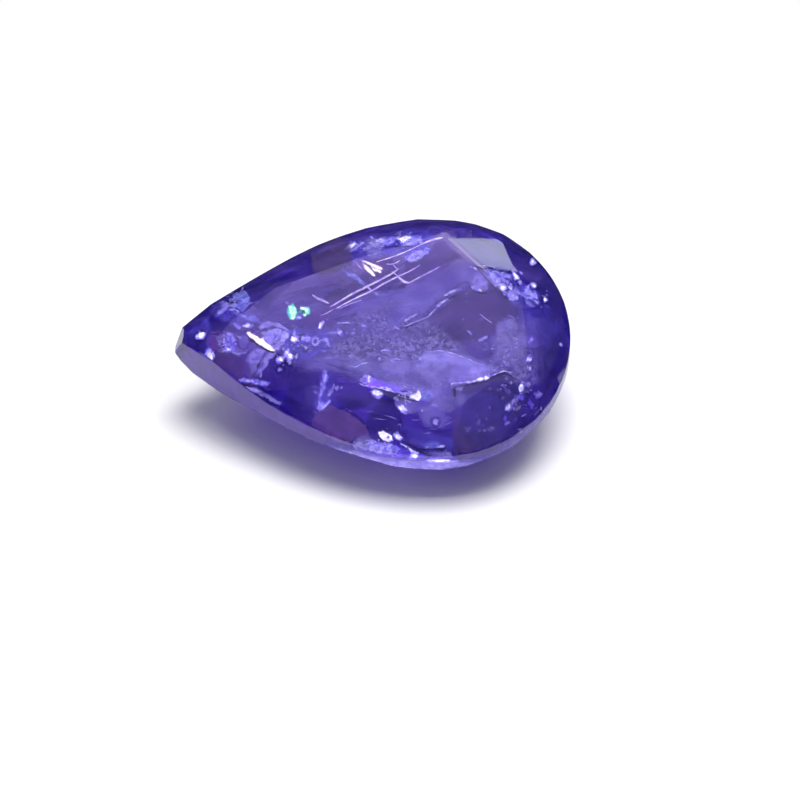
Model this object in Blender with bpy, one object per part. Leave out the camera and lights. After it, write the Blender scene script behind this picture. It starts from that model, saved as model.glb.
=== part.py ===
"""A pear-cut tanzanite gemstone, one solid, lying on a facet of its pavilion.

Metres, +Z up. The stone is cut in millimetres in a frame of its own: +X runs
from the tip to the round head, +Z out of the table, and z = 0 is the upper
line of the girdle. It starts as a pear-shaped block. Every facet is one flat
cut through the block, given by its heading round the stone and its slope.
The cut stone is then tilted until the facet it lies on faces straight down,
and set on z = 0 with the middle of its box over the origin.
"""
import math
from collections import namedtuple

import bmesh
import bpy
from mathutils import Matrix, Vector

MM = 0.001

# Outline of the girdle, in millimetres
LENGTH = 10.0
WIDTH = 7.9
HEAD_REACH = 3.3
TIP_CURVE = 1.08
TIP_SHARE = 0.99
HEAD_STEPS = 16
SIDE_STEPS = 14

# Heights from the upper line of the girdle, in millimetres
CROWN_HEIGHT = 1.06
KEEL_DEPTH = 2.5
BLOCK_SPARE = 0.5

# Corners of the table, from the tip round the far side to the head and back.
# star is the slope of the star facet that runs on to the next corner, in
# degrees, lift how far the main facet at the corner stays above it, in
# millimetres, and turn what that facet is turned by, in degrees.
Corner = namedtuple("Corner", "x y star lift turn")
TABLE = (
    Corner(-3.35, -0.30, 27.0, 0.03, 0.0),
    Corner(-2.47, 0.66, 27.0, 0.04, 0.0),
    Corner(-0.32, 1.70, 27.0, 0.05, 0.0),
    Corner(1.86, 2.58, 27.6, 0.04, 0.0),
    Corner(2.62, 1.69, 26.6, 0.15, -4.0),
    Corner(3.78, 0.10, 30.0, 0.05, 0.0),
    Corner(3.86, -1.52, 30.0, 0.05, 0.0),
    Corner(2.95, -2.08, 28.0, 0.05, 0.0),
    Corner(1.15, -2.68, 27.0, 0.05, 0.0),
    Corner(-0.77, -2.02, 27.0, 0.04, 0.0),
    Corner(-2.49, -1.19, 27.0, 0.04, 0.0),
)

# Crown facets that meet the girdle between two main facets, and how much steeper
# than those they are, in degrees, on the side the table leans towards and on the other
BREAK_SHARES = (0.27, 0.73)
BREAK_EXTRA_SLOPE = 8.0
FAR_BREAK_EXTRA_SLOPE = 3.0

# Pavilion facets that meet the girdle: heading either side of the head, and
# the girdle's thickness there, which is uneven and greatest beside the tip
GIRDLE_THICKNESS = (
    (0.0, 0.34),
    (20.0, 0.30),
    (40.0, 0.30),
    (60.0, 0.36),
    (78.0, 0.46),
    (95.0, 0.50),
    (112.0, 0.42),
    (122.0, 0.50),
    (131.0, 0.80),
    (137.0, 1.05),
)
PAVILION_BREAK_SLOPE = 44.0

# Pavilion main facets, below those
PAVILION_MAINS = 11
PAVILION_MAIN_START = -90.0
PAVILION_MAIN_SLOPE = 38.0
PAVILION_MAIN_REACH = 0.8
PAVILION_MAIN_HEIGHT = -1.4

# Shallow facets that close the pavilion along its keel: heading, slope and
# where the facet meets the keel. The keel lies off the middle, away from the
# first facet, which is the one that the stone lies on.
KEEL_TIP_X = -1.2
KEEL_HEAD_X = 1.7
KEEL_Y = 0.6
KEEL_FACETS = (
    (-90.0, 13.0, 0.0),
    (90.0, 17.0, 0.0),
    (30.0, 17.0, KEEL_HEAD_X),
    (-30.0, 17.0, KEEL_HEAD_X),
    (150.0, 14.0, KEEL_TIP_X),
    (-150.0, 14.0, KEEL_TIP_X),
)
REST_SLOPE = KEEL_FACETS[0][1]

# Small facets that blunt the tip: slope, height on the tip and side
TIP_HEADING = 180.0
TIP_CROWN = (70.0, -0.5, 1)
TIP_PAVILION = (45.0, -0.6, -1)

# A cut this close to a corner goes through it, and an edge this short is
# closed up, both in millimetres
SNAP = 0.00001
SLIVER = 0.002

WIDEST_X = LENGTH / 2 - HEAD_REACH


def clear_scene():
    """Remove whatever objects the scene holds."""
    for item in list(bpy.data.objects):
        bpy.data.objects.remove(item, do_unlink=True)


def outline():
    """Points of the pear outline, anticlockwise from the end of the head."""
    side = []
    for step in range(HEAD_STEPS):
        angle = math.pi / 2 * step / HEAD_STEPS
        side.append(Vector((WIDEST_X + HEAD_REACH * math.cos(angle), WIDTH / 2 * math.sin(angle))))
    reach = (WIDEST_X + LENGTH / 2) / TIP_SHARE
    for step in range(SIDE_STEPS + 1):
        share = TIP_SHARE * step / SIDE_STEPS
        half_width = WIDTH / 2 * math.cos(math.pi / 2 * share ** TIP_CURVE)
        side.append(Vector((WIDEST_X - reach * share, half_width)))
    return side + [Vector((point.x, -point.y)) for point in reversed(side[1:])]


def direction(heading):
    """Unit vector across the stone at a heading in degrees, 0 at the head."""
    return Vector((math.cos(math.radians(heading)), math.sin(math.radians(heading))))


def heading_of(vector):
    """Heading in degrees of a vector across the stone."""
    return math.degrees(math.atan2(vector.y, vector.x))


def girdle_reach(heading):
    """How far the outline reaches at a heading."""
    return max(point.dot(direction(heading)) for point in outline())


def pear_block():
    """The uncut stone: the outline drawn out past the crown and the keel."""
    stone = bmesh.new()
    base = [stone.verts.new((point.x, point.y, -KEEL_DEPTH - BLOCK_SPARE)) for point in outline()]
    face = stone.faces.new(base)
    drawn = bmesh.ops.extrude_face_region(stone, geom=[face])
    raised = [item for item in drawn["geom"] if isinstance(item, bmesh.types.BMVert)]
    rise = KEEL_DEPTH + CROWN_HEIGHT + 2 * BLOCK_SPARE
    bmesh.ops.translate(stone, verts=raised, vec=(0.0, 0.0, rise))
    bmesh.ops.recalc_face_normals(stone, faces=stone.faces[:])
    return stone


def cut_facet(stone, heading, slope, reach, height, side):
    """Cut one flat facet and close the stone over it.

    The facet passes through the point at reach and height, and side is 1 on
    the crown and -1 on the pavilion.
    """
    across = direction(heading)
    tilt = math.radians(slope)
    point = (across.x * reach, across.y * reach, height)
    normal = (across.x * math.sin(tilt), across.y * math.sin(tilt), side * math.cos(tilt))
    everything = stone.verts[:] + stone.edges[:] + stone.faces[:]
    result = bmesh.ops.bisect_plane(
        stone, geom=everything, dist=SNAP, plane_co=point, plane_no=normal, clear_outer=True)
    rim = [item for item in result["geom_cut"] if isinstance(item, bmesh.types.BMEdge)]
    open_rim = [edge for edge in rim if edge.is_boundary]
    if open_rim:
        bmesh.ops.contextual_create(stone, geom=open_rim)


def star_headings():
    """Heading of the star facet along each side of the table."""
    headings = []
    for index, corner in enumerate(TABLE):
        following = TABLE[(index + 1) % len(TABLE)]
        headings.append(heading_of(Vector((corner.y - following.y, following.x - corner.x))))
    return headings


def main_facets():
    """Heading and slope of the main facet that runs from each corner to the girdle."""
    stars = star_headings()
    facets = []
    for index, corner in enumerate(TABLE):
        middle = direction(stars[index - 1]) + direction(stars[index])
        heading = heading_of(middle) + corner.turn
        run = girdle_reach(heading) - Vector((corner.x, corner.y)).dot(direction(heading))
        slope = math.degrees(math.atan2(CROWN_HEIGHT + corner.lift, run))
        facets.append((heading, slope))
    return facets


def cut_crown(stone):
    """Table, star facets, main facets and the facets that break them at the girdle."""
    cut_facet(stone, 0.0, 0.0, 0.0, CROWN_HEIGHT, 1)
    for corner, heading in zip(TABLE, star_headings()):
        reach = Vector((corner.x, corner.y)).dot(direction(heading))
        cut_facet(stone, heading, corner.star, reach, CROWN_HEIGHT, 1)
    mains = main_facets()
    for index, (heading, slope) in enumerate(mains):
        cut_facet(stone, heading, slope, girdle_reach(heading), 0.0, 1)
        next_heading, next_slope = mains[(index + 1) % len(mains)]
        turn = (next_heading - heading + 180.0) % 360.0 - 180.0
        for share in BREAK_SHARES:
            between = heading + turn * share
            extra = FAR_BREAK_EXTRA_SLOPE if direction(between).y > 0.0 else BREAK_EXTRA_SLOPE
            steeper = slope + (next_slope - slope) * share + extra
            cut_facet(stone, between, steeper, girdle_reach(between), 0.0, 1)


def cut_pavilion(stone):
    """Facets under the girdle, main facets and the shallow facets at the keel."""
    for heading, thickness in GIRDLE_THICKNESS:
        for turned in sorted({heading, -heading}):
            reach = girdle_reach(turned)
            cut_facet(stone, turned, PAVILION_BREAK_SLOPE, reach, -thickness, -1)
    for index in range(PAVILION_MAINS):
        heading = PAVILION_MAIN_START + 360.0 * index / PAVILION_MAINS
        reach = girdle_reach(heading) * PAVILION_MAIN_REACH
        cut_facet(stone, heading, PAVILION_MAIN_SLOPE, reach, PAVILION_MAIN_HEIGHT, -1)
    keel_height = -KEEL_DEPTH - KEEL_Y * math.tan(math.radians(REST_SLOPE))
    for heading, slope, keel_x in KEEL_FACETS:
        reach = Vector((keel_x, KEEL_Y)).dot(direction(heading))
        cut_facet(stone, heading, slope, reach, keel_height, -1)


def cut_tip(stone):
    """Blunt the tip, which is too thin to stay sharp."""
    for slope, height, side in (TIP_CROWN, TIP_PAVILION):
        cut_facet(stone, TIP_HEADING, slope, LENGTH / 2, height, side)


def lay_down(stone):
    """Tilt the stone onto its rest facet, set it on z = 0 and turn it to metres."""
    bmesh.ops.rotate(stone, verts=stone.verts[:], matrix=Matrix.Rotation(math.radians(REST_SLOPE), 3, "X"))
    low = Vector([min(vert.co[axis] for vert in stone.verts) for axis in range(3)])
    high = Vector([max(vert.co[axis] for vert in stone.verts) for axis in range(3)])
    middle = (low + high) / 2
    bmesh.ops.translate(stone, verts=stone.verts[:], vec=(-middle.x, -middle.y, -low.z))
    bmesh.ops.scale(stone, verts=stone.verts[:], vec=(MM, MM, MM))


def tanzanite_material():
    """Clear blue-violet crystal."""
    material = bpy.data.materials.new("tanzanite_crystal")
    material.use_nodes = True
    shader = material.node_tree.nodes["Principled BSDF"]
    shader.inputs["Base Color"].default_value = (0.12, 0.07, 0.55, 1.0)
    shader.inputs["Roughness"].default_value = 0.03
    shader.inputs["Metallic"].default_value = 0.0
    shader.inputs["IOR"].default_value = 1.695
    shader.inputs["Transmission Weight"].default_value = 1.0
    return material


def make_tanzanite():
    """The gemstone, as one object with one flat face for each facet."""
    stone = pear_block()
    cut_crown(stone)
    cut_pavilion(stone)
    cut_tip(stone)
    bmesh.ops.dissolve_degenerate(stone, edges=stone.edges[:], dist=SLIVER)
    bmesh.ops.recalc_face_normals(stone, faces=stone.faces[:])
    lay_down(stone)
    mesh = bpy.data.meshes.new("tanzanite")
    stone.to_mesh(mesh)
    stone.free()
    mesh.materials.append(tanzanite_material())
    gem = bpy.data.objects.new("tanzanite", mesh)
    bpy.context.scene.collection.objects.link(gem)
    return gem


def main():
    clear_scene()
    make_tanzanite()


main()
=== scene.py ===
import functools
import math
import random
from collections import namedtuple

import bmesh
import bpy
from bpy.props import FloatProperty, FloatVectorProperty, PointerProperty
from mathutils import Matrix, Vector
from mathutils.bvhtree import BVHTree
from mathutils.geometry import intersect_line_plane


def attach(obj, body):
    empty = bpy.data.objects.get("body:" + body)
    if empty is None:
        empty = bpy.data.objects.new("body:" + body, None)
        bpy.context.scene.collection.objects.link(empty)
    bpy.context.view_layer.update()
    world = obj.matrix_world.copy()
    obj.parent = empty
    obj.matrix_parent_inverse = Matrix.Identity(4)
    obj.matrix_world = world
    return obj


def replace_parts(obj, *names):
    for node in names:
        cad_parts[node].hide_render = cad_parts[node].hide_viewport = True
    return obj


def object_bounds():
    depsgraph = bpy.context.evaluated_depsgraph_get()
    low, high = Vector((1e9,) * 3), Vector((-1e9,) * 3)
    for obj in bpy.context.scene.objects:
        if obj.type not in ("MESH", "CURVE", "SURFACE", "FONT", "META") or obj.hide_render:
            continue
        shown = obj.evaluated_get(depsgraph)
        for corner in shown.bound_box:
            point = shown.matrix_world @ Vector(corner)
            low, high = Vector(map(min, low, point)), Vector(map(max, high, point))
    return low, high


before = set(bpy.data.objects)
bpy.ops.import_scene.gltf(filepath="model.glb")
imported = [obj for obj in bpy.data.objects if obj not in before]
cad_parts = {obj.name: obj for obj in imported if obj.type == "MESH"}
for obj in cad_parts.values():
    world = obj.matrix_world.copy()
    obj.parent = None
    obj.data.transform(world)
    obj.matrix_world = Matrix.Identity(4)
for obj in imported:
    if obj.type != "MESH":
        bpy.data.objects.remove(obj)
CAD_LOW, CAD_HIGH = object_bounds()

bl_info = {
    "name": "Pear-cut tanzanite",
    "version": (1, 0, 0),
    "blender": (4, 5, 0),
    "location": "3D View > Sidebar > Tanzanite",
    "description": "Makes a pear-cut tanzanite with its inclusions, on a pale floor",
    "category": "Object",
}

MM = 0.001
BODY = "root"
NODE = "tanzanite"

# The photo's frame and how the stone lies in it, in pixels
PHOTO_SIZE = 800
STONE_LEFT = 175.0
STONE_RIGHT = 570.0
STONE_MIDDLE = Vector((372.5, 347.5))
CAMERA_ELEVATION = 37.0
CAMERA_DISTANCE = 120 * MM
SENSOR = 36.0

# Tanzanite's refractive index, and how far inclusions stay below the surface
REFRACTIVE_INDEX = 1.695
SKIN = 0.04 * MM
# Share of the way to the stone's middle by which a pixel off its edge is drawn in, step by step
PULL = 0.01
PULL_STEPS = 20
# Slope of the table, towards the camera, in degrees, and how square to it the girdle's facets stand
TABLE_LEAN = 13.0
GIRDLE_LIMIT = 0.2
# Corners of the solid that are nearer than this are one
WELD_REACH = 0.0001 * MM
# Bends between facets that are smaller than the first angle are no edges, and those above the
# second have a fine bevel, in degrees
FLAT_ANGLE = 0.2
BEVEL_ANGLE = 6.0
# The flow that streaks follow: how steeply it climbs to the right above a level in pixels, over
# what span it levels out, and how it bends up at the head
FLOW_RISE = 0.5
FLOW_LEVEL = 365.0
FLOW_SPAN = 85.0
FLOW_TURN = 480.0
FLOW_BEND = 0.012
# Thickness of films and shards
FILM_THICKNESS = 0.006 * MM
SHARD_THICKNESS = 0.01 * MM
# How far a film's edge strays from its outline, in pixels, and how far the painted shade ring lies
# below a flake, in millimetres
FILM_TEAR = 1.6
SHADE_RING_DROP = 0.05
# Share of a white flake that is its bright core
CORE_SHARE = 0.78
# How finely the edges of angular patches waver, per millimetre
CELL_WAVER = 5.0


def rows(kind, *values):
    """A table, each row of it made a named tuple."""
    return tuple(kind(*row) for row in values)


# Camera, and places inside the stone

def px_size():
    """Metres that one pixel of the photo covers at the stone."""
    return (CAD_HIGH.x - CAD_LOW.x) / (STONE_RIGHT - STONE_LEFT)


def camera_axes():
    """Right, up and forward of the camera."""
    tilt = math.radians(CAMERA_ELEVATION)
    forward = Vector((0.0, math.cos(tilt), -math.sin(tilt)))
    right = Vector((1.0, 0.0, 0.0))
    return right, right.cross(forward), forward


def pixel_place(px, py):
    """Point that a pixel of the photo shows, at the depth of the stone's middle."""
    right, up, forward = camera_axes()
    middle = (CAD_LOW + CAD_HIGH) / 2
    return middle + right * (px - STONE_MIDDLE.x) * px_size() - up * (py - STONE_MIDDLE.y) * px_size()


def camera_place():
    """Where the camera stands."""
    return pixel_place(PHOTO_SIZE / 2, PHOTO_SIZE / 2) - camera_axes()[2] * CAMERA_DISTANCE


@functools.lru_cache
def stone_surface():
    """The stone's surface, for finding where a line of sight meets it."""
    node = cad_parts[NODE]
    points = [node.matrix_world @ vertex.co for vertex in node.data.vertices]
    return BVHTree.FromPolygons(points, [tuple(face.vertices) for face in node.data.polygons])


def look(px, py):
    """Direction of the line of sight through a pixel, and where and on what slope it meets the stone."""
    eye = camera_place()
    direction = (pixel_place(px, py) - eye).normalized()
    entry, normal, _, _ = stone_surface().ray_cast(eye, direction)
    return direction, entry, normal


def refracted(direction, normal, ratio):
    """Direction of a line of sight once it has bent at a surface."""
    cosine = -direction.dot(normal)
    across = 1.0 - ratio ** 2 * (1.0 - cosine ** 2)
    return (direction * ratio + normal * (ratio * cosine - math.sqrt(across))).normalized()


def sight(px, py):
    """Where the line of sight through a pixel enters the stone, its bent direction and its room.

    A pixel just off the stone is drawn in towards its middle.
    """
    for pull in range(PULL_STEPS):
        place = Vector((px, py)).lerp(STONE_MIDDLE, pull * PULL)
        direction, entry, normal = look(place.x, place.y)
        if entry is not None:
            bent = refracted(direction, normal, 1.0 / REFRACTIVE_INDEX)
            leave, _, _, _ = stone_surface().ray_cast(entry + bent * SKIN / 2, bent)
            return entry, bent, (leave - entry).length
    raise ValueError(f"pixel {px}, {py} misses the stone")


def under(px, py, depth):
    """Point in the stone seen at a pixel, at a depth in millimetres along the line of sight."""
    entry, bent, room = sight(px, py)
    return entry + bent * min(max(depth * MM, SKIN), max(room - SKIN, room / 2))


def mirrored(px, py):
    """Where a pixel's line of sight meets the stone, and the direction that it mirrors."""
    direction, entry, normal = look(px, py)
    return entry, direction.reflect(normal)


def turned(middle, x, y, turn):
    """Pixel at an offset from a middle, once the offset is turned by some degrees."""
    spin = math.radians(turn)
    return (middle[0] + x * math.cos(spin) - y * math.sin(spin),
            middle[1] + x * math.sin(spin) + y * math.cos(spin))


# Mesh helpers

def link(ob):
    """Put an object in the scene."""
    bpy.context.scene.collection.objects.link(ob)
    return ob


def solid_copy():
    """The stone's solid as a closed bmesh with flat facets, where it lies."""
    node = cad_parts[NODE]
    bm = bmesh.new()
    points = [bm.verts.new(node.matrix_world @ vertex.co) for vertex in node.data.vertices]
    for face in node.data.polygons:
        bm.faces.new([points[index] for index in face.vertices])
    bmesh.ops.remove_doubles(bm, verts=bm.verts[:], dist=WELD_REACH)
    bm.normal_update()
    return bm


def mesh_object(name, bm, material):
    """An object with its mesh made from a bmesh."""
    mesh = bpy.data.meshes.new(name)
    bm.to_mesh(mesh)
    bm.free()
    mesh.materials.append(material)
    return link(bpy.data.objects.new(name, mesh))


def ride(ob):
    """Let an object ride on the stone."""
    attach(ob, BODY)
    return ob


def piece(name, bm, material):
    """An inclusion made from a bmesh, riding on the stone."""
    bmesh.ops.recalc_face_normals(bm, faces=bm.faces[:])
    return ride(mesh_object(name, bm, material))


def rod(bm, points, widths, sides=6, flat=1.0):
    """A closed rod through points, width by width, flattened by flat along the view."""
    forward = camera_axes()[2]
    rings = []
    for index, (point, width) in enumerate(zip(points, widths)):
        before = points[max(index - 1, 0)]
        after = points[min(index + 1, len(points) - 1)]
        along = (after - before).normalized()
        across = along.cross(forward).normalized()
        lift = across.cross(along).normalized()
        ring = []
        for side in range(sides):
            angle = math.tau * side / sides
            offset = across * math.cos(angle) + lift * math.sin(angle) * flat
            ring.append(bm.verts.new(point + offset * width / 2))
        rings.append(ring)
    for ring, following in zip(rings, rings[1:]):
        for side in range(sides):
            beside = (side + 1) % sides
            bm.faces.new((ring[side], ring[beside], following[beside], following[side]))
    bm.faces.new(list(reversed(rings[0])))
    bm.faces.new(rings[-1])


def plate(bm, corners, thickness):
    """A closed thin plate between corners that are nearly in one plane."""
    middle = sum(corners, Vector()) / len(corners)
    normal = Vector()
    for index, corner in enumerate(corners):
        normal += (corner - middle).cross(corners[(index + 1) % len(corners)] - middle)
    normal.normalize()
    top = [bm.verts.new(corner + normal * thickness / 2) for corner in corners]
    low = [bm.verts.new(corner - normal * thickness / 2) for corner in corners]
    peak = bm.verts.new(middle + normal * thickness / 2)
    foot = bm.verts.new(middle - normal * thickness / 2)
    for index in range(len(corners)):
        beside = (index + 1) % len(corners)
        bm.faces.new((top[index], top[beside], peak))
        bm.faces.new((low[beside], low[index], foot))
        bm.faces.new((low[index], low[beside], top[beside], top[index]))


def crystal(bm, centre, size, rng, stretch=1.0):
    """A small angular crystal or bubble."""
    made = bmesh.ops.create_icosphere(bm, subdivisions=1, radius=0.5)
    axis = Vector((rng.uniform(-1, 1), rng.uniform(-1, 1), rng.uniform(-0.4, 0.4))).normalized()
    for vertex in made["verts"]:
        shape = vertex.co + axis * vertex.co.dot(axis) * (stretch - 1.0)
        vertex.co = centre + shape * size * rng.uniform(0.8, 1.2)


def ragged(centre, radius_x, radius_y, turn, rng, corners=9, rough=0.35):
    """Pixel outline of an irregular flake."""
    outline = []
    for index in range(corners):
        angle = math.tau * index / corners
        reach = 1.0 + rng.uniform(-rough, rough)
        x = math.cos(angle) * radius_x * reach
        y = math.sin(angle) * radius_y * reach
        outline.append(turned(centre, x, y, turn))
    return outline


def within(px, py, outline):
    """Whether a pixel lies within an outline."""
    hit = False
    for index, (ax, ay) in enumerate(outline):
        bx, by = outline[index - 1]
        if (ay > py) != (by > py) and px < (bx - ax) * (py - ay) / (by - ay) + ax:
            hit = not hit
    return hit


def smooth_line(points, steps):
    """Points along a smooth curve through the given ones."""
    line = []
    for index in range(len(points) - 1):
        before = Vector(points[max(index - 1, 0)])
        start = Vector(points[index])
        end = Vector(points[index + 1])
        after = Vector(points[min(index + 2, len(points) - 1)])
        for step in range(steps):
            t = step / steps
            bend = (2 * before - 5 * start + 4 * end - after) * t ** 2
            twist = (3 * start - 3 * end + after - before) * t ** 3
            line.append(tuple(0.5 * (2 * start + (end - before) * t + bend + twist)))
    line.append(tuple(points[-1]))
    return line


# Material helpers

def feed(node, **sockets):
    """Set inputs of a node, named with _ for a space, each to a value or another node's output."""
    for name, value in sockets.items():
        socket = node.inputs[name.replace("_", " ")]
        if isinstance(value, bpy.types.NodeSocket):
            node.id_data.links.new(value, socket)
        else:
            socket.default_value = (*value, 1.0) if socket.type == "RGBA" else value


def new_node(tree, kind, x, y, sockets=None, **settings):
    """A shader node with its settings and inputs, at a place in the editor."""
    made = tree.nodes.new(kind)
    made.location = (x, y)
    for name, value in settings.items():
        setattr(made, name, value)
    feed(made, **(sockets or {}))
    return made


def math_node(tree, operation, x, y, first, second):
    """A maths node, each input a number or another node's output."""
    made = new_node(tree, "ShaderNodeMath", x, y, operation=operation)
    for socket, value in zip(made.inputs, (first, second)):
        if isinstance(value, bpy.types.NodeSocket):
            tree.links.new(value, socket)
        else:
            socket.default_value = value
    return made.outputs["Value"]


def mask_group(name, inputs, build):
    """Node group, made once: its inputs, a value built from them and limits that make it a mask."""
    if name in bpy.data.node_groups:
        return bpy.data.node_groups[name]
    tree = bpy.data.node_groups.new(name, "ShaderNodeTree")
    for title, value in {**inputs, "Low": 0.4, "High": 0.6}.items():
        kind = "NodeSocketVector" if isinstance(value, tuple) else "NodeSocketFloat"
        tree.interface.new_socket(name=title, in_out="INPUT", socket_type=kind).default_value = value
    tree.interface.new_socket(name="Mask", in_out="OUTPUT", socket_type="NodeSocketFloat")
    entry = new_node(tree, "NodeGroupInput", -1100, 0).outputs
    limits = new_node(tree, "ShaderNodeMapRange", 300, 0, {
        "Value": build(tree, entry), "From_Min": entry["Low"], "From_Max": entry["High"],
    }, interpolation_type="SMOOTHSTEP")
    new_node(tree, "NodeGroupOutput", 500, 0, {"Mask": limits.outputs["Result"]})
    return tree


def object_place(tree, x, y):
    """Place on the object in millimetres."""
    place = new_node(tree, "ShaderNodeTexCoord", x, y)
    enlarge = new_node(tree, "ShaderNodeVectorMath", x + 200, y, {"Scale": 1.0 / MM}, operation="SCALE")
    tree.links.new(place.outputs["Object"], enlarge.inputs[0])
    return enlarge.outputs["Vector"]


def build_clouds(tree, entry):
    """Noise that can be turned and stretched."""
    lay = new_node(tree, "ShaderNodeMapping", -500, 200, {
        "Vector": object_place(tree, -900, 300), "Rotation": entry["Turn"], "Scale": entry["Stretch"]})
    noise = new_node(tree, "ShaderNodeTexNoise", -250, 100, {
        "Vector": lay.outputs["Vector"], "Scale": entry["Scale"], "Detail": entry["Detail"],
        "Distortion": entry["Bend"]})
    return noise.outputs["Fac"]


def build_streaks(tree, entry):
    """Noise drawn out along the flow stored on a sheet."""
    flow = new_node(tree, "ShaderNodeAttribute", -900, 300, attribute_name="flow")
    split = new_node(tree, "ShaderNodeSeparateXYZ", -700, 300, {"Vector": flow.outputs["Vector"]}).outputs
    joined = new_node(tree, "ShaderNodeCombineXYZ", -300, 300, {
        "X": math_node(tree, "MULTIPLY", -500, 350, split["X"], entry["Along"]),
        "Y": math_node(tree, "MULTIPLY", -500, 150, split["Y"], entry["Across"])})
    noise = new_node(tree, "ShaderNodeTexNoise", -100, 200, {
        "Vector": joined.outputs["Vector"], "Scale": 1.0, "Detail": entry["Detail"],
        "Distortion": entry["Bend"]})
    return noise.outputs["Fac"]


def build_cells(tree, entry):
    """Angular patches with wavering edges, each with a value of its own."""
    place = object_place(tree, -1100, 300)
    stray = new_node(tree, "ShaderNodeTexNoise", -700, 500, {"Vector": place, "Scale": CELL_WAVER})
    bent = new_node(tree, "ShaderNodeVectorMath", -500, 500, {"Scale": entry["Bend"]}, operation="SCALE")
    moved = new_node(tree, "ShaderNodeVectorMath", -300, 300, operation="ADD")
    tree.links.new(stray.outputs["Color"], bent.inputs[0])
    tree.links.new(place, moved.inputs[0])
    tree.links.new(bent.outputs["Vector"], moved.inputs[1])
    cells = new_node(tree, "ShaderNodeTexVoronoi", -100, 200, {
        "Vector": moved.outputs["Vector"], "Scale": entry["Scale"]})
    split = new_node(tree, "ShaderNodeSeparateXYZ", 100, 200, {"Vector": cells.outputs["Color"]})
    return split.outputs["X"]


# Node groups: name, inputs with their defaults, and what builds the value
CLOUDS = ("crystal_clouds", {
    "Turn": (0.0, 0.0, 0.0), "Stretch": (1.0, 1.0, 1.0), "Scale": 1.0, "Detail": 4.0, "Bend": 0.0,
}, build_clouds)
STREAKS = ("flow_streaks", {"Along": 1.0, "Across": 5.0, "Detail": 5.0, "Bend": 0.3}, build_streaks)
CELLS = ("crystal_cells", {"Scale": 6.0, "Bend": 0.1}, build_cells)


def masked(tree, group, x, y, **values):
    """The mask of a node group in a material, with its own values."""
    made = new_node(tree, "ShaderNodeGroup", x, y, node_tree=mask_group(*group))
    feed(made, **{name.capitalize(): value for name, value in values.items()})
    return made.outputs["Mask"]


def blend(tree, x, y, mask, first, second):
    """A colour between two, by a mask."""
    made = new_node(tree, "ShaderNodeMix", x, y, data_type="RGBA")
    tree.links.new(mask, made.inputs["Factor"])
    made.inputs["A"].default_value = (*first, 1.0)
    made.inputs["B"].default_value = (*second, 1.0)
    return made.outputs["Result"]


def stored(tree, x, y, name):
    """A value that the mesh stores under a name."""
    return new_node(tree, "ShaderNodeAttribute", x, y, attribute_name=name).outputs["Fac"]


def plain_material(name):
    """A material with its tree and its Principled shader."""
    material = bpy.data.materials.new(name)
    material.use_nodes = True
    return material, material.node_tree, material.node_tree.nodes["Principled BSDF"]


def colour_with_painted_glow(shader, colour, glow, roughness):
    """Give a shader a colour, and make it glow in it: painted light for what it would catch in the stone."""
    feed(shader, Base_Color=colour, Emission_Color=colour, Emission_Strength=glow, Roughness=roughness)


def milky_material(name, pale, deep, glow, grain):
    """Cloudy included crystal: two tones in fine grain, with a painted glow for the light it catches."""
    material, tree, shader = plain_material(name)
    mask = masked(tree, CLOUDS, -700, 200, scale=grain, detail=3.0, low=0.35, high=0.65)
    colour_with_painted_glow(shader, blend(tree, -400, 200, mask, deep, pale), glow, 0.45)
    return material


def patchy_cover(tree, cover, **values):
    """Cover that breaks off in patches."""
    patches = masked(tree, CLOUDS, -700, -200, detail=4.0, **values)
    return math_node(tree, "MULTIPLY", -400, -200, patches, cover)


# The cut stone

def crystal_material(settings):
    """Clear blue-violet crystal, with a duller girdle."""
    material, tree, shader = plain_material("tanzanite")
    polish = masked(tree, CLOUDS, -700, -100, scale=9.0, detail=5.0, low=0.35, high=0.75)
    wear = math_node(tree, "MULTIPLY", -450, -100, polish, settings.polish_wear)
    girdle = stored(tree, -700, -400, "girdle")
    dull = math_node(tree, "MULTIPLY", -450, -400, girdle, settings.girdle_roughness)
    feed(shader, Base_Color=(1.0, 1.0, 1.0), Transmission_Weight=1.0, IOR=REFRACTIVE_INDEX,
         Specular_Tint=settings.mirror_tint, Roughness=math_node(tree, "ADD", -250, -200, wear, dull))
    body = new_node(tree, "ShaderNodeVolumeAbsorption", 0, -400, {
        "Color": settings.crystal_colour, "Density": settings.crystal_density})
    feed(tree.nodes["Material Output"], Volume=body.outputs["Volume"])
    return material


def make_stone(settings):
    """The cut stone: the solid's facets, with fine bevels along their edges."""
    bm = solid_copy()
    bmesh.ops.dissolve_limit(bm, angle_limit=math.radians(FLAT_ANGLE), verts=bm.verts[:], edges=bm.edges[:])
    lean = math.radians(TABLE_LEAN)
    table = Vector((0.0, -math.sin(lean), math.cos(lean)))
    layer = bm.faces.layers.float.new("girdle")
    for face in bm.faces:
        face[layer] = 1.0 if abs(face.normal.dot(table)) < GIRDLE_LIMIT else 0.0
    stone = mesh_object("cut_stone", bm, crystal_material(settings))
    if settings.edge_width:
        edges = stone.modifiers.new("worn edges", "BEVEL")
        edges.width = settings.edge_width
        edges.segments = 1
        edges.limit_method = "ANGLE"
        edges.angle_limit = math.radians(BEVEL_ANGLE)
    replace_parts(ride(stone), NODE)


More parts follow.
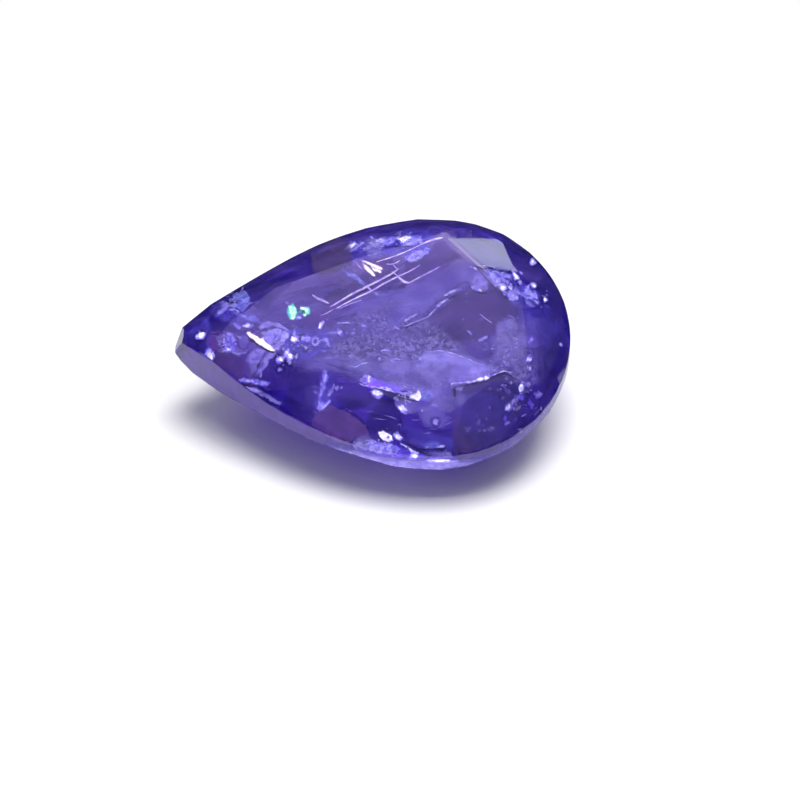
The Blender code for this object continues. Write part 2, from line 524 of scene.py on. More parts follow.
# Lines inside the stone: points in pixels, depth and width in millimetres
Stroke = namedtuple("Stroke", "points depth width")
NEEDLES = rows(Stroke,
    (((399, 268.5), (392, 273.5), (380, 280), (367, 286.5), (352, 294), (337, 303),
     (330, 307)), 0.3, 0.058),
    (((420, 265), (410, 271), (398, 276.5), (385, 283), (372, 290.5), (352, 300), (336, 308.5)), 0.3, 0.05),
    (((334, 308.5), (327, 313), (320, 315.5)), 0.34, 0.022),
    (((409, 283), (420, 277), (431, 271.5), (440, 266.5)), 0.26, 0.044),
    (((398, 277), (404, 281.5), (409.5, 283)), 0.28, 0.075),
    (((367, 286.5), (371.5, 290.5)), 0.3, 0.05),
    (((312, 294.5), (318, 298.5), (324, 301), (329, 303.5)), 0.4, 0.07),
    (((386, 264), (393, 264), (400, 260.5)), 0.22, 0.034),
    (((393, 265), (398, 269.5)), 0.22, 0.036),
    (((392, 271.5), (398, 276)), 0.28, 0.03),
    # Painted highlight: these two rows are the bright line along the table's far edge, laid as needles
    (((376, 262), (392, 257), (405, 252), (420, 245)), 0.07, 0.034),
    (((420, 245), (432, 240), (443, 237.5)), 0.07, 0.062),
    (((355, 260), (358, 265), (362, 269)), 0.22, 0.028),
    (((350, 256.5), (356, 258.5), (362, 260)), 0.22, 0.035),
    (((480, 314), (486, 319), (492, 323)), 0.5, 0.024),
    (((338, 309), (350, 304), (362, 300)), 0.34, 0.02),
)
CRACKS = rows(Stroke,
    (((404, 321.5), (411, 317.5), (418, 313.5)), 0.45, 0.08),
    (((404, 326), (418, 321), (430, 315), (438, 305), (446, 300)), 0.45, 0.036),
    (((438, 306.5), (443, 302), (448, 299)), 0.43, 0.07),
    (((444, 296), (452, 291.5), (462, 288.5)), 0.43, 0.08),
    (((471, 285.5), (475, 288.5), (482, 291)), 0.26, 0.085),
    (((470, 266.5), (475, 268.5), (481, 272)), 0.2, 0.07),
    (((337, 323), (345, 322.5), (350, 323)), 0.4, 0.04),
    (((395, 327), (401, 330)), 0.4, 0.05),
    (((350, 366), (356, 367), (361, 364), (368, 363)), 0.4, 0.036),
    (((381, 351), (386, 350), (392, 351)), 0.4, 0.036),
    (((388, 361), (396, 359), (404, 360)), 0.36, 0.026),
    (((428, 352), (440, 351), (455, 354), (470, 360), (484, 366)), 0.26, 0.018),
    (((360, 384), (372, 387), (384, 389), (396, 393)), 0.1, 0.028),
    (((378, 387.5), (386, 388), (392, 390.5)), 0.1, 0.05),
    # Painted highlight: the bright line along the table's near edge
    (((451, 384), (460, 383), (470, 382), (478, 380)), 0.06, 0.055),
    (((490, 376.5), (498, 373), (505, 371), (511, 373)), 0.1, 0.022),
    (((231, 309), (236, 310), (240, 314.5), (246, 316.5)), 0.2, 0.045),
    (((325, 370.5), (326, 376), (324, 382)), 0.2, 0.05),
    (((334, 384), (332, 391), (328, 396)), 0.2, 0.04),
    (((330, 401), (325, 406), (319, 410.5)), 0.2, 0.05),
    (((400, 443), (408, 448), (414, 452), (419, 453)), 0.08, 0.055),
    (((335, 455.5), (339, 458), (345, 459)), 0.05, 0.065),
    (((344, 454), (350, 459)), 0.05, 0.04),
    (((360, 460.5), (367, 462)), 0.05, 0.06),
    (((360, 464.5), (380, 468.5), (400, 471), (420, 472.5), (445, 472)), 0.05, 0.022),
    # Painted highlight: a faint light line along the bright facet's lower edge
    (((479, 266), (487, 265.5), (495, 267.5)), 0.05, 0.022),
    (((534, 300), (538, 304)), 0.08, 0.035),
)
# Painted shade: dark rods beside cracks, bars and edges; the first two are a dark rim along the far outline
SHADOWS = rows(Stroke,
    (((184, 329), (200, 315), (225, 297), (250, 282), (275, 268), (300, 256), (325, 246), (350, 237),
     (375, 230), (400, 225), (430, 221), (460, 223)), 0.09, 0.034),
    (((440, 221), (465, 224), (490, 231), (515, 242), (535, 255), (550, 274), (561, 296), (568, 320),
     (570, 345), (566, 368)), 0.09, 0.04),
    (((402, 329), (414, 324.5), (424, 319), (433, 313)), 0.5, 0.05),
    (((430, 306), (440, 300.5), (448, 295.5), (458, 285), (468, 282), (478, 280.5)), 0.5, 0.05),
    (((447, 300), (456, 295), (464, 291.5)), 0.48, 0.05),
    (((474, 291), (482, 293.5), (488, 291)), 0.3, 0.05),
    (((337, 305.5), (344, 302), (352, 297.5), (362, 292), (368, 289)), 0.34, 0.048),
    (((384, 279.5), (390, 276.5), (395, 275.5)), 0.34, 0.05),
    (((366, 264), (372, 270), (376, 274)), 0.2, 0.04),
    (((404, 277), (411, 279.5), (420, 274), (428, 269)), 0.32, 0.03),
    (((475, 266), (482, 268.5), (490, 268.5), (497, 269.5)), 0.1, 0.045),
    (((500, 271), (508, 272), (513, 274)), 0.1, 0.03),
    (((474, 264), (494, 287), (513, 303)), 0.07, 0.024),
    (((488, 378.5), (493, 377), (500, 374), (508, 374.5), (516, 380)), 0.12, 0.05),
    (((452, 388), (468, 384.5), (482, 381.5), (489, 380)), 0.1, 0.05),
    (((453.5, 387), (455, 392), (454, 397)), 0.1, 0.07),
    (((344, 374), (354, 379.5), (366, 385.5), (378, 389), (392, 394), (406, 399),
     (418, 401.5)), 0.12, 0.038),
    (((248, 337.5), (258, 345), (268, 350.5), (275, 353)), 0.12, 0.05),
    (((266, 352), (261, 360), (257, 368)), 0.2, 0.06),
    (((236, 382.5), (246, 385), (260, 386.5)), 0.16, 0.07),
    (((238, 336), (238, 342), (240, 348)), 0.2, 0.04),
    (((300, 340), (301, 335), (306, 335)), 0.24, 0.07),
    (((229, 301), (232, 304), (237, 302.5)), 0.2, 0.07),
    (((236, 310.5), (241, 316)), 0.2, 0.035),
    (((272, 342), (275, 338), (277, 335)), 0.2, 0.03),
    (((346, 410), (356, 416), (364, 424), (370, 430)), 0.2, 0.04),
    (((402, 441), (414, 447), (422, 452), (432, 457)), 0.1, 0.034),
    (((420, 449), (435, 449.5), (446, 448)), 0.14, 0.044),
    (((376, 432), (388, 430.5), (396, 433)), 0.16, 0.05),
    (((378, 400.5), (388, 400), (395, 403)), 0.22, 0.05),
    (((352, 249.5), (360, 246), (364, 242)), 0.16, 0.05),
    (((376, 246), (396, 247), (414, 246)), 0.14, 0.035),
    (((380, 234.5), (400, 235), (418, 233.5)), 0.1, 0.04),
    (((524, 301), (517, 302), (512, 301)), 0.14, 0.05),
    (((505, 291), (509, 290), (510, 286)), 0.12, 0.04),
    (((517, 284), (519.5, 286)), 0.12, 0.05),
    (((516, 275), (520, 279)), 0.12, 0.035),
    (((516, 392), (512, 398), (507, 403), (503, 411)), 0.2, 0.06),
    (((525, 392), (530, 396)), 0.2, 0.05),
)


def add_strokes(bm, strokes, rng, waver, flat):
    """Closed tapering rods along the strokes."""
    for stroke in strokes:
        spine = smooth_line(stroke.points, 5)
        points = []
        widths = []
        for index, (px, py) in enumerate(spine):
            share = index / (len(spine) - 1)
            stray = [rng.uniform(-waver, waver) for _ in range(2)]
            points.append(under(px + stray[0], py + stray[1], stroke.depth))
            taper = 0.25 + 0.75 * math.sin(math.pi * share) ** 0.5
            widths.append(stroke.width * MM * taper * (1.0 + rng.uniform(-waver, waver)))
        rod(bm, points, widths, flat=flat)


def make_needles(settings):
    """Straight growth tubes, pink against the violet, with a painted glow."""
    bm = bmesh.new()
    add_strokes(bm, NEEDLES, random.Random(3), 0.08, 1.0)
    piece("needles", bm, milky_material(
        "needle_pink", settings.needle_colour, (0.46, 0.34, 0.80), settings.painted_glint * 1.35, 7.0))


def make_cracks(settings):
    """Open cracks, each a bright curved edge that glows with painted light."""
    bm = bmesh.new()
    add_strokes(bm, CRACKS, random.Random(5), 0.35, 0.4)
    material = milky_material(
        "crack_light", settings.crack_colour, (0.22, 0.18, 0.72), settings.painted_glint * 1.1, 9.0)
    tree = material.node_tree
    broken = masked(tree, CLOUDS, -700, -200, scale=4.0, detail=4.0, low=0.30, high=0.50)
    feed(tree.nodes["Principled BSDF"], Alpha=broken)
    piece("cracks", bm, material)


def make_crack_shadows(settings):
    """Painted shade: dark edges beside the cracks, and a dark rim along the far outline."""
    bm = bmesh.new()
    add_strokes(bm, SHADOWS, random.Random(6), 0.3, 0.4)
    material, tree, shader = plain_material("crack_shadow")
    cover = masked(tree, CLOUDS, -700, -200, scale=3.0, detail=4.0, low=0.2, high=0.5)
    tone = blend(tree, -400, 200, cover, (0.02, 0.01, 0.12), settings.shadow_colour)
    alpha = math_node(tree, "MULTIPLY", -400, -200, cover, settings.shadow_cover)
    feed(shader, Base_Color=tone, Alpha=alpha)
    piece("crack_shadows", bm, material)


# Films

# Thin sheets inside the stone are made under an outline in pixels. Each point of a sheet stores
# its haze, which fades at the edge, and where it lies in the flow that the streaks follow.

def flow_at(px, py):
    """Place of a pixel along and across the streaks, in millimetres."""
    rise = FLOW_RISE * min(max((FLOW_LEVEL - py) / FLOW_SPAN, -0.2), 1.0)
    bend = FLOW_BEND * max(px - FLOW_TURN, 0.0) ** 2
    scale = px_size() / MM
    return Vector((px * scale, (py + rise * (px - PHOTO_SIZE / 2) + bend) * scale, 0.0))


def edge_distance(px, py, outline):
    """Distance in pixels from a pixel to an outline, positive inside it."""
    nearest = PHOTO_SIZE
    for index, (ax, ay) in enumerate(outline):
        bx, by = outline[index - 1]
        run = (bx - ax) ** 2 + (by - ay) ** 2
        share = min(max(((px - ax) * (bx - ax) + (py - ay) * (by - ay)) / run, 0.0), 1.0)
        nearest = min(nearest, math.hypot(px - ax - share * (bx - ax), py - ay - share * (by - ay)))
    return nearest if within(px, py, outline) else -nearest


def smooth(value):
    """0 to 1 with soft ends."""
    share = min(max(value, 0.0), 1.0)
    return share * share * (3.0 - 2.0 * share)


def add_sheet(bm, outline, step, fade, depth_at, haze_at):
    """A sheet under an outline, its depth and haze given by functions of the pixel."""
    haze = bm.verts.layers.float["haze"]
    flow = bm.verts.layers.float_vector["flow"]
    left, top = [min(side) - 2 * step for side in zip(*outline)]
    right, bottom = [max(side) + 2 * step for side in zip(*outline)]
    grid = {}
    for column in range(int((right - left) / step) + 1):
        for row in range(int((bottom - top) / step) + 1):
            px = left + column * step
            py = top + row * step
            reach = edge_distance(px, py, outline)
            if reach < -1.5 * step:
                continue
            vertex = bm.verts.new(under(px, py, depth_at(px, py)))
            vertex[haze] = haze_at(px, py) * smooth((reach + fade / 2) / fade)
            vertex[flow] = flow_at(px, py)
            grid[column, row] = vertex
    for column, row in list(grid):
        corners = [(column, row), (column + 1, row), (column + 1, row + 1), (column, row + 1)]
        if all(corner in grid for corner in corners):
            bm.faces.new([grid[corner] for corner in corners]).smooth = True


def sheet_mesh():
    """An empty mesh for sheets, with room for their haze and flow."""
    bm = bmesh.new()
    bm.verts.layers.float.new("haze")
    bm.verts.layers.float_vector.new("flow")
    return bm


def sheet_piece(name, bm, material):
    """Sheets made closed, with a film's thickness."""
    loose = [vertex for vertex in bm.verts if not vertex.link_faces]
    bmesh.ops.delete(bm, geom=loose, context="VERTS")
    body = piece(name, bm, material).modifiers.new("film", "SOLIDIFY")
    body.thickness = FILM_THICKNESS
    body.offset = 0.0


# Tones of the sheets: two colours, the painted glow that stands in for the light they catch, how
# solid they are, their mottling's fineness per millimetre and where it starts and ends, and how many
# angular patches they have per millimetre, none for a smooth tone
Tone = namedtuple("Tone", "pale deep glow cover grain low high cells")
TONES = {
    # White flakes: real flakes, made to glow white as painted highlights of what their crack planes mirror
    "white": Tone((1.0, 0.98, 1.0), (0.50, 0.46, 0.98), 0.92, 1.0, 7.0, 0.10, 0.35, 0),
    "warm": Tone((1.0, 0.95, 0.80), (0.92, 0.80, 0.78), 1.05, 1.0, 3.0, 0.0, 0.10, 0),
    "mint": Tone((0.10, 0.78, 0.52), (0.02, 0.36, 0.30), 1.0, 1.0, 8.0, 0.05, 0.25, 9),
    # Painted highlight: the brightest part of the green flash
    "painted_flash": Tone((0.72, 1.0, 0.66), (0.30, 0.92, 0.52), 1.25, 1.0, 8.0, 0.0, 0.15, 0),
    # Painted reflection: the glowing strip beside the bright facet
    "painted_reflection": Tone((0.30, 0.28, 0.49), (0.27, 0.25, 0.46), 0.61, 1.0, 1.0, 0.0, 0.05, 0),
    "ice": Tone((0.28, 0.31, 0.80), (0.13, 0.13, 0.58), 0.60, 0.95, 3.5, 0.10, 0.40, 13),
    "crackle": Tone((0.46, 0.41, 0.97), (0.17, 0.13, 0.70), 0.60, 0.95, 4.5, 0.10, 0.40, 14),
    "mottle": Tone((0.30, 0.27, 0.60), (0.06, 0.045, 0.24), 0.50, 0.9, 5.0, 0.05, 0.45, 16),
    "plum": Tone((0.062, 0.012, 0.37), (0.042, 0.008, 0.29), 0.44, 0.95, 2.0, 0.0, 0.30, 0),
    "violet": Tone((0.22, 0.13, 0.92), (0.10, 0.06, 0.62), 0.60, 0.9, 3.5, 0.15, 0.50, 0),
    "pale": Tone((0.42, 0.37, 0.84), (0.25, 0.20, 0.69), 0.60, 0.9, 3.5, 0.18, 0.55, 0),
    "lavender": Tone((0.255, 0.225, 0.62), (0.15, 0.12, 0.48), 0.50, 0.75, 1.8, 0.18, 0.60, 0),
    "blue": Tone((0.12, 0.09, 0.66), (0.06, 0.045, 0.42), 0.45, 0.6, 2.2, 0.20, 0.55, 0),
    "mauve": Tone((0.15, 0.065, 0.34), (0.105, 0.050, 0.27), 0.45, 0.85, 1.5, 0.05, 0.40, 0),
    "brown": Tone((0.115, 0.070, 0.245), (0.080, 0.050, 0.205), 0.42, 0.65, 1.5, 0.10, 0.50, 0),
    # Painted shade: the dark tone of shaded patches, dark crown facets and the rings round flakes
    "shade_navy": Tone((0.034, 0.017, 0.31), (0.018, 0.008, 0.19), 0.28, 0.8, 2.5, 0.12, 0.45, 0),
}

# Small flakes and bubbles: tone, middle and half sizes in pixels, turn in degrees, depth in
# millimetres and how dark the painted shade ring round them is
Flake = namedtuple("Flake", "tone middle half turn depth ring")
FLAKES = rows(Flake,
    ("white", (200.5, 335.5), (4.6, 2.6), -25, 0.12, 0.8),
    ("white", (209.7, 356), (2.8, 4.4), -15, 0.12, 0.3),
    ("white", (247.3, 325.8), (4.6, 1.9), -10, 0.15, 0.0),
    ("white", (228.5, 349.3), (1.9, 1.5), 0, 0.11, 0.0),
    ("white", (380.5, 241), (4.6, 3.0), 0, 0.12, 0.3),
    ("white", (407, 238.8), (10.5, 2.6), -3, 0.12, 0.0),
    ("white", (404, 241.6), (4.2, 2.4), 10, 0.12, 0.0),
    ("white", (351, 245.8), (5.6, 1.9), -32, 0.1, 0.4),
    ("pale", (369, 248.3), (2.2, 1.6), 0, 0.12, 0.0),
    ("pale", (370, 255), (1.8, 2.4), 0, 0.14, 0.0),
    ("pale", (371.5, 237.5), (2.4, 1.2), 30, 0.1, 0.0),
    ("pale", (421, 254.7), (4.2, 1.3), -8, 0.16, 0.0),
    ("white", (402.5, 408), (4.8, 2.5), 35, 0.2, 0.2),
    ("lavender", (388.3, 437.2), (1.4, 1.4), 0, 0.1, 0.0),
    ("white", (398.5, 437), (4.0, 2.1), 30, 0.14, 0.3),
    ("white", (414, 456), (4.0, 2.2), -10, 0.08, 0.0),
    ("white", (440, 460.6), (14.0, 1.2), 0, 0.03, 0.0),
    ("pale", (435.7, 421.5), (3.4, 2.6), 0, 0.15, 0.6),
    ("white", (521.7, 387.5), (2.4, 4.6), 20, 0.12, 0.6),
    ("pale", (528, 385), (2.2, 2.6), 10, 0.14, 0.0),
    ("violet", (518.5, 397), (2.8, 2.6), 0, 0.14, 0.0),
    ("violet", (522.3, 397.6), (2.0, 2.4), 0, 0.14, 0.0),
    ("violet", (531, 404), (2.4, 5.0), -20, 0.18, 0.0),
    ("crackle", (537.5, 394.5), (3.6, 4.0), 20, 0.14, 0.0),
    ("white", (508, 407.5), (2.4, 3.6), 20, 0.14, 0.5),
    ("pale", (513, 402), (1.8, 3.0), 25, 0.14, 0.0),
    ("pale", (514, 408.5), (1.1, 2.2), 0, 0.14, 0.0),
    ("pale", (507, 423), (2.8, 1.6), -30, 0.14, 0.0),
    ("violet", (505, 419), (1.8, 3.0), 0, 0.16, 0.0),
    ("pale", (482.5, 339), (4.9, 1.7), -24, 0.35, 0.4),
    ("pale", (469.5, 332.5), (3.0, 0.9), 42, 0.35, 0.0),
    ("white", (532.7, 261.7), (1.8, 2.2), -20, 0.08, 1.0),
    ("white", (503.3, 288.3), (2.6, 3.4), -35, 0.08, 0.9),
    ("pale", (507.5, 282.5), (1.8, 1.8), 0, 0.08, 0.2),
    ("pale", (511, 286), (1.5, 2.2), -20, 0.08, 0.2),
    ("white", (516, 276.5), (1.5, 4.0), -38, 0.08, 0.3),
    ("pale", (520.3, 282), (1.9, 2.2), -20, 0.08, 0.0),
    ("pale", (496.5, 281.5), (1.2, 1.8), 0, 0.08, 0.0),
    ("white", (533.8, 285.3), (2.3, 1.3), 30, 0.07, 0.8),
    ("white", (545.3, 299.5), (1.3, 1.6), -15, 0.08, 0.7),
    ("pale", (528, 287), (1.4, 2.4), 0, 0.08, 0.0),
    ("pale", (516.3, 297.6), (1.6, 2.2), 0, 0.08, 0.0),
    ("pale", (521, 273), (1.8, 0.9), 40, 0.08, 0.0),
    ("white", (377.3, 393.6), (4.8, 3.2), 5, 0.2, 1.0),
    ("white", (280.3, 359.2), (2.8, 2.7), 0, 0.15, 1.0),
    ("white", (289.8, 356), (2.8, 2.8), 0, 0.15, 0.9),
    ("white", (286.6, 353), (1.8, 2.6), 0, 0.15, 0.0),
    ("pale", (280, 369.8), (1.9, 1.8), 0, 0.15, 0.7),
    ("pale", (296.5, 356.5), (1.5, 1.8), 0, 0.15, 0.3),
    ("pale", (289.5, 361.7), (2.0, 1.2), 0, 0.15, 0.2),
    ("pale", (283.5, 349), (1.2, 1.6), 0, 0.15, 0.3),
    ("white", (294, 339), (3.3, 2.8), 0, 0.22, 0.7),
    ("pale", (294.4, 333.5), (1.5, 3.2), 0, 0.22, 0.0),
    ("pale", (305.7, 347.3), (1.8, 2.6), -30, 0.22, 0.6),
    ("white", (320.5, 325.5), (1.7, 3.6), 20, 0.3, 0.6),
    ("pale", (331, 332.8), (8.2, 1.5), -5, 0.35, 0.0),
    ("white", (340, 332.3), (2.8, 2.5), 30, 0.35, 0.5),
    ("pale", (353, 333.2), (2.2, 0.9), 0, 0.4, 0.0),
    ("pale", (337.3, 387.7), (1.9, 2.6), 0, 0.2, 0.5),
    ("pale", (341.5, 387.5), (1.0, 1.4), 0, 0.2, 0.0),
    ("pale", (361.5, 379.8), (1.9, 2.1), 0, 0.22, 0.5),
    ("pale", (365.2, 376.4), (2.0, 1.4), 0, 0.22, 0.0),
    ("white", (368.7, 380), (1.6, 2.8), 0, 0.22, 0.0),
    ("pale", (365, 383), (1.9, 1.2), 0, 0.22, 0.0),
    ("pale", (363.5, 325.5), (2.2, 1.4), 20, 0.4, 0.0),
    ("pale", (397, 328), (3.4, 1.2), 35, 0.4, 0.0),
    ("pale", (379.5, 359), (1.2, 1.2), 0, 0.3, 0.0),
    ("pale", (391.5, 360.5), (1.2, 1.6), 0, 0.3, 0.0),
    ("lavender", (396, 372), (3.2, 2.0), -10, 0.35, 0.0),
    ("pale", (420, 359.5), (1.9, 1.5), 30, 0.3, 0.0),
    # Painted highlight: these two carry on the bright line along the table's near edge
    ("white", (481, 379.2), (3.8, 1.4), -15, 0.06, 0.0),
    ("white", (486, 377.8), (2.6, 1.8), -15, 0.06, 0.0),
    ("white", (529.2, 359.5), (2.3, 1.9), 0, 0.2, 0.4),
    ("pale", (531, 340.5), (1.9, 3.0), 30, 0.2, 0.0),
    ("pale", (504.5, 362), (1.3, 2.0), -20, 0.25, 0.0),
    ("pale", (508, 363.5), (1.2, 1.2), 0, 0.25, 0.0),
    ("pale", (530.3, 368.5), (1.0, 2.2), 0, 0.2, 0.0),
    ("pale", (561, 344.7), (1.3, 2.2), -15, 0.08, 0.0),
    ("pale", (250.8, 398.7), (1.7, 1.6), 0, 0.1, 0.0),
    ("lavender", (224, 380), (3.0, 2.6), 0, 0.1, 0.0),
    ("lavender", (222, 389.5), (2.0, 1.6), 0, 0.1, 0.0),
    ("lavender", (195, 377), (2.2, 1.7), 0, 0.08, 0.0),
    ("pale", (228, 411), (1.6, 2.6), 20, 0.06, 0.0),
    ("pale", (502.3, 385.3), (1.4, 1.3), 0, 0.2, 0.6),
    ("pale", (511, 382.5), (1.2, 1.3), 0, 0.2, 0.6),
    ("lavender", (506.5, 379), (1.6, 1.6), 0, 0.2, 0.5),
    ("lavender", (507.5, 391.5), (3.4, 2.8), 0, 0.2, 0.4),
    ("lavender", (503.5, 397.5), (2.2, 2.0), 0, 0.2, 0.0),
    ("lavender", (498, 390.5), (2.2, 1.3), 20, 0.2, 0.0),
    ("lavender", (490.5, 389), (1.8, 1.5), 0, 0.2, 0.0),
    ("lavender", (478.8, 423), (2.2, 3.4), 0, 0.2, 0.0),
    ("lavender", (479.5, 430.5), (1.8, 1.6), 0, 0.2, 0.0),
    ("lavender", (491, 429), (4.6, 2.2), -25, 0.2, 0.0),
    ("lavender", (468, 429), (3.6, 3.0), 0, 0.2, 0.0),
    ("pale", (433.5, 405.7), (3.4, 1.1), 8, 0.2, 0.0),
    ("pale", (441, 446.5), (3.8, 1.1), -5, 0.12, 0.0),
    ("pale", (287, 303.0), (1.2, 2.2), -40, 0.3, 0.0),
    # Painted highlight: a green flash off a flake, drawn as glowing mint and brighter flash flakes
    ("mint", (292.6, 312.0), (5.0, 7.6), -14, 0.36, 0.0),
    ("mint", (303.8, 311.0), (5.0, 4.8), 0, 0.36, 0.0),
    ("painted_flash", (293.0, 313.0), (3.4, 5.4), -10, 0.3, 0.0),
    ("painted_flash", (290.6, 308.6), (2.0, 2.6), -30, 0.3, 0.0),
    ("painted_flash", (302.6, 308.2), (2.8, 1.3), 5, 0.3, 0.0),
    ("painted_flash", (306.6, 310.8), (1.3, 2.6), -15, 0.3, 0.0),
    ("painted_flash", (304.6, 315.0), (1.7, 1.0), 0, 0.3, 0.0),
    ("shade_navy", (303.0, 311.6), (2.0, 1.9), 0, 0.29, 0.0),
    ("white", (299.3, 317.5), (1.9, 1.3), 0, 0.3, 0.3),
)

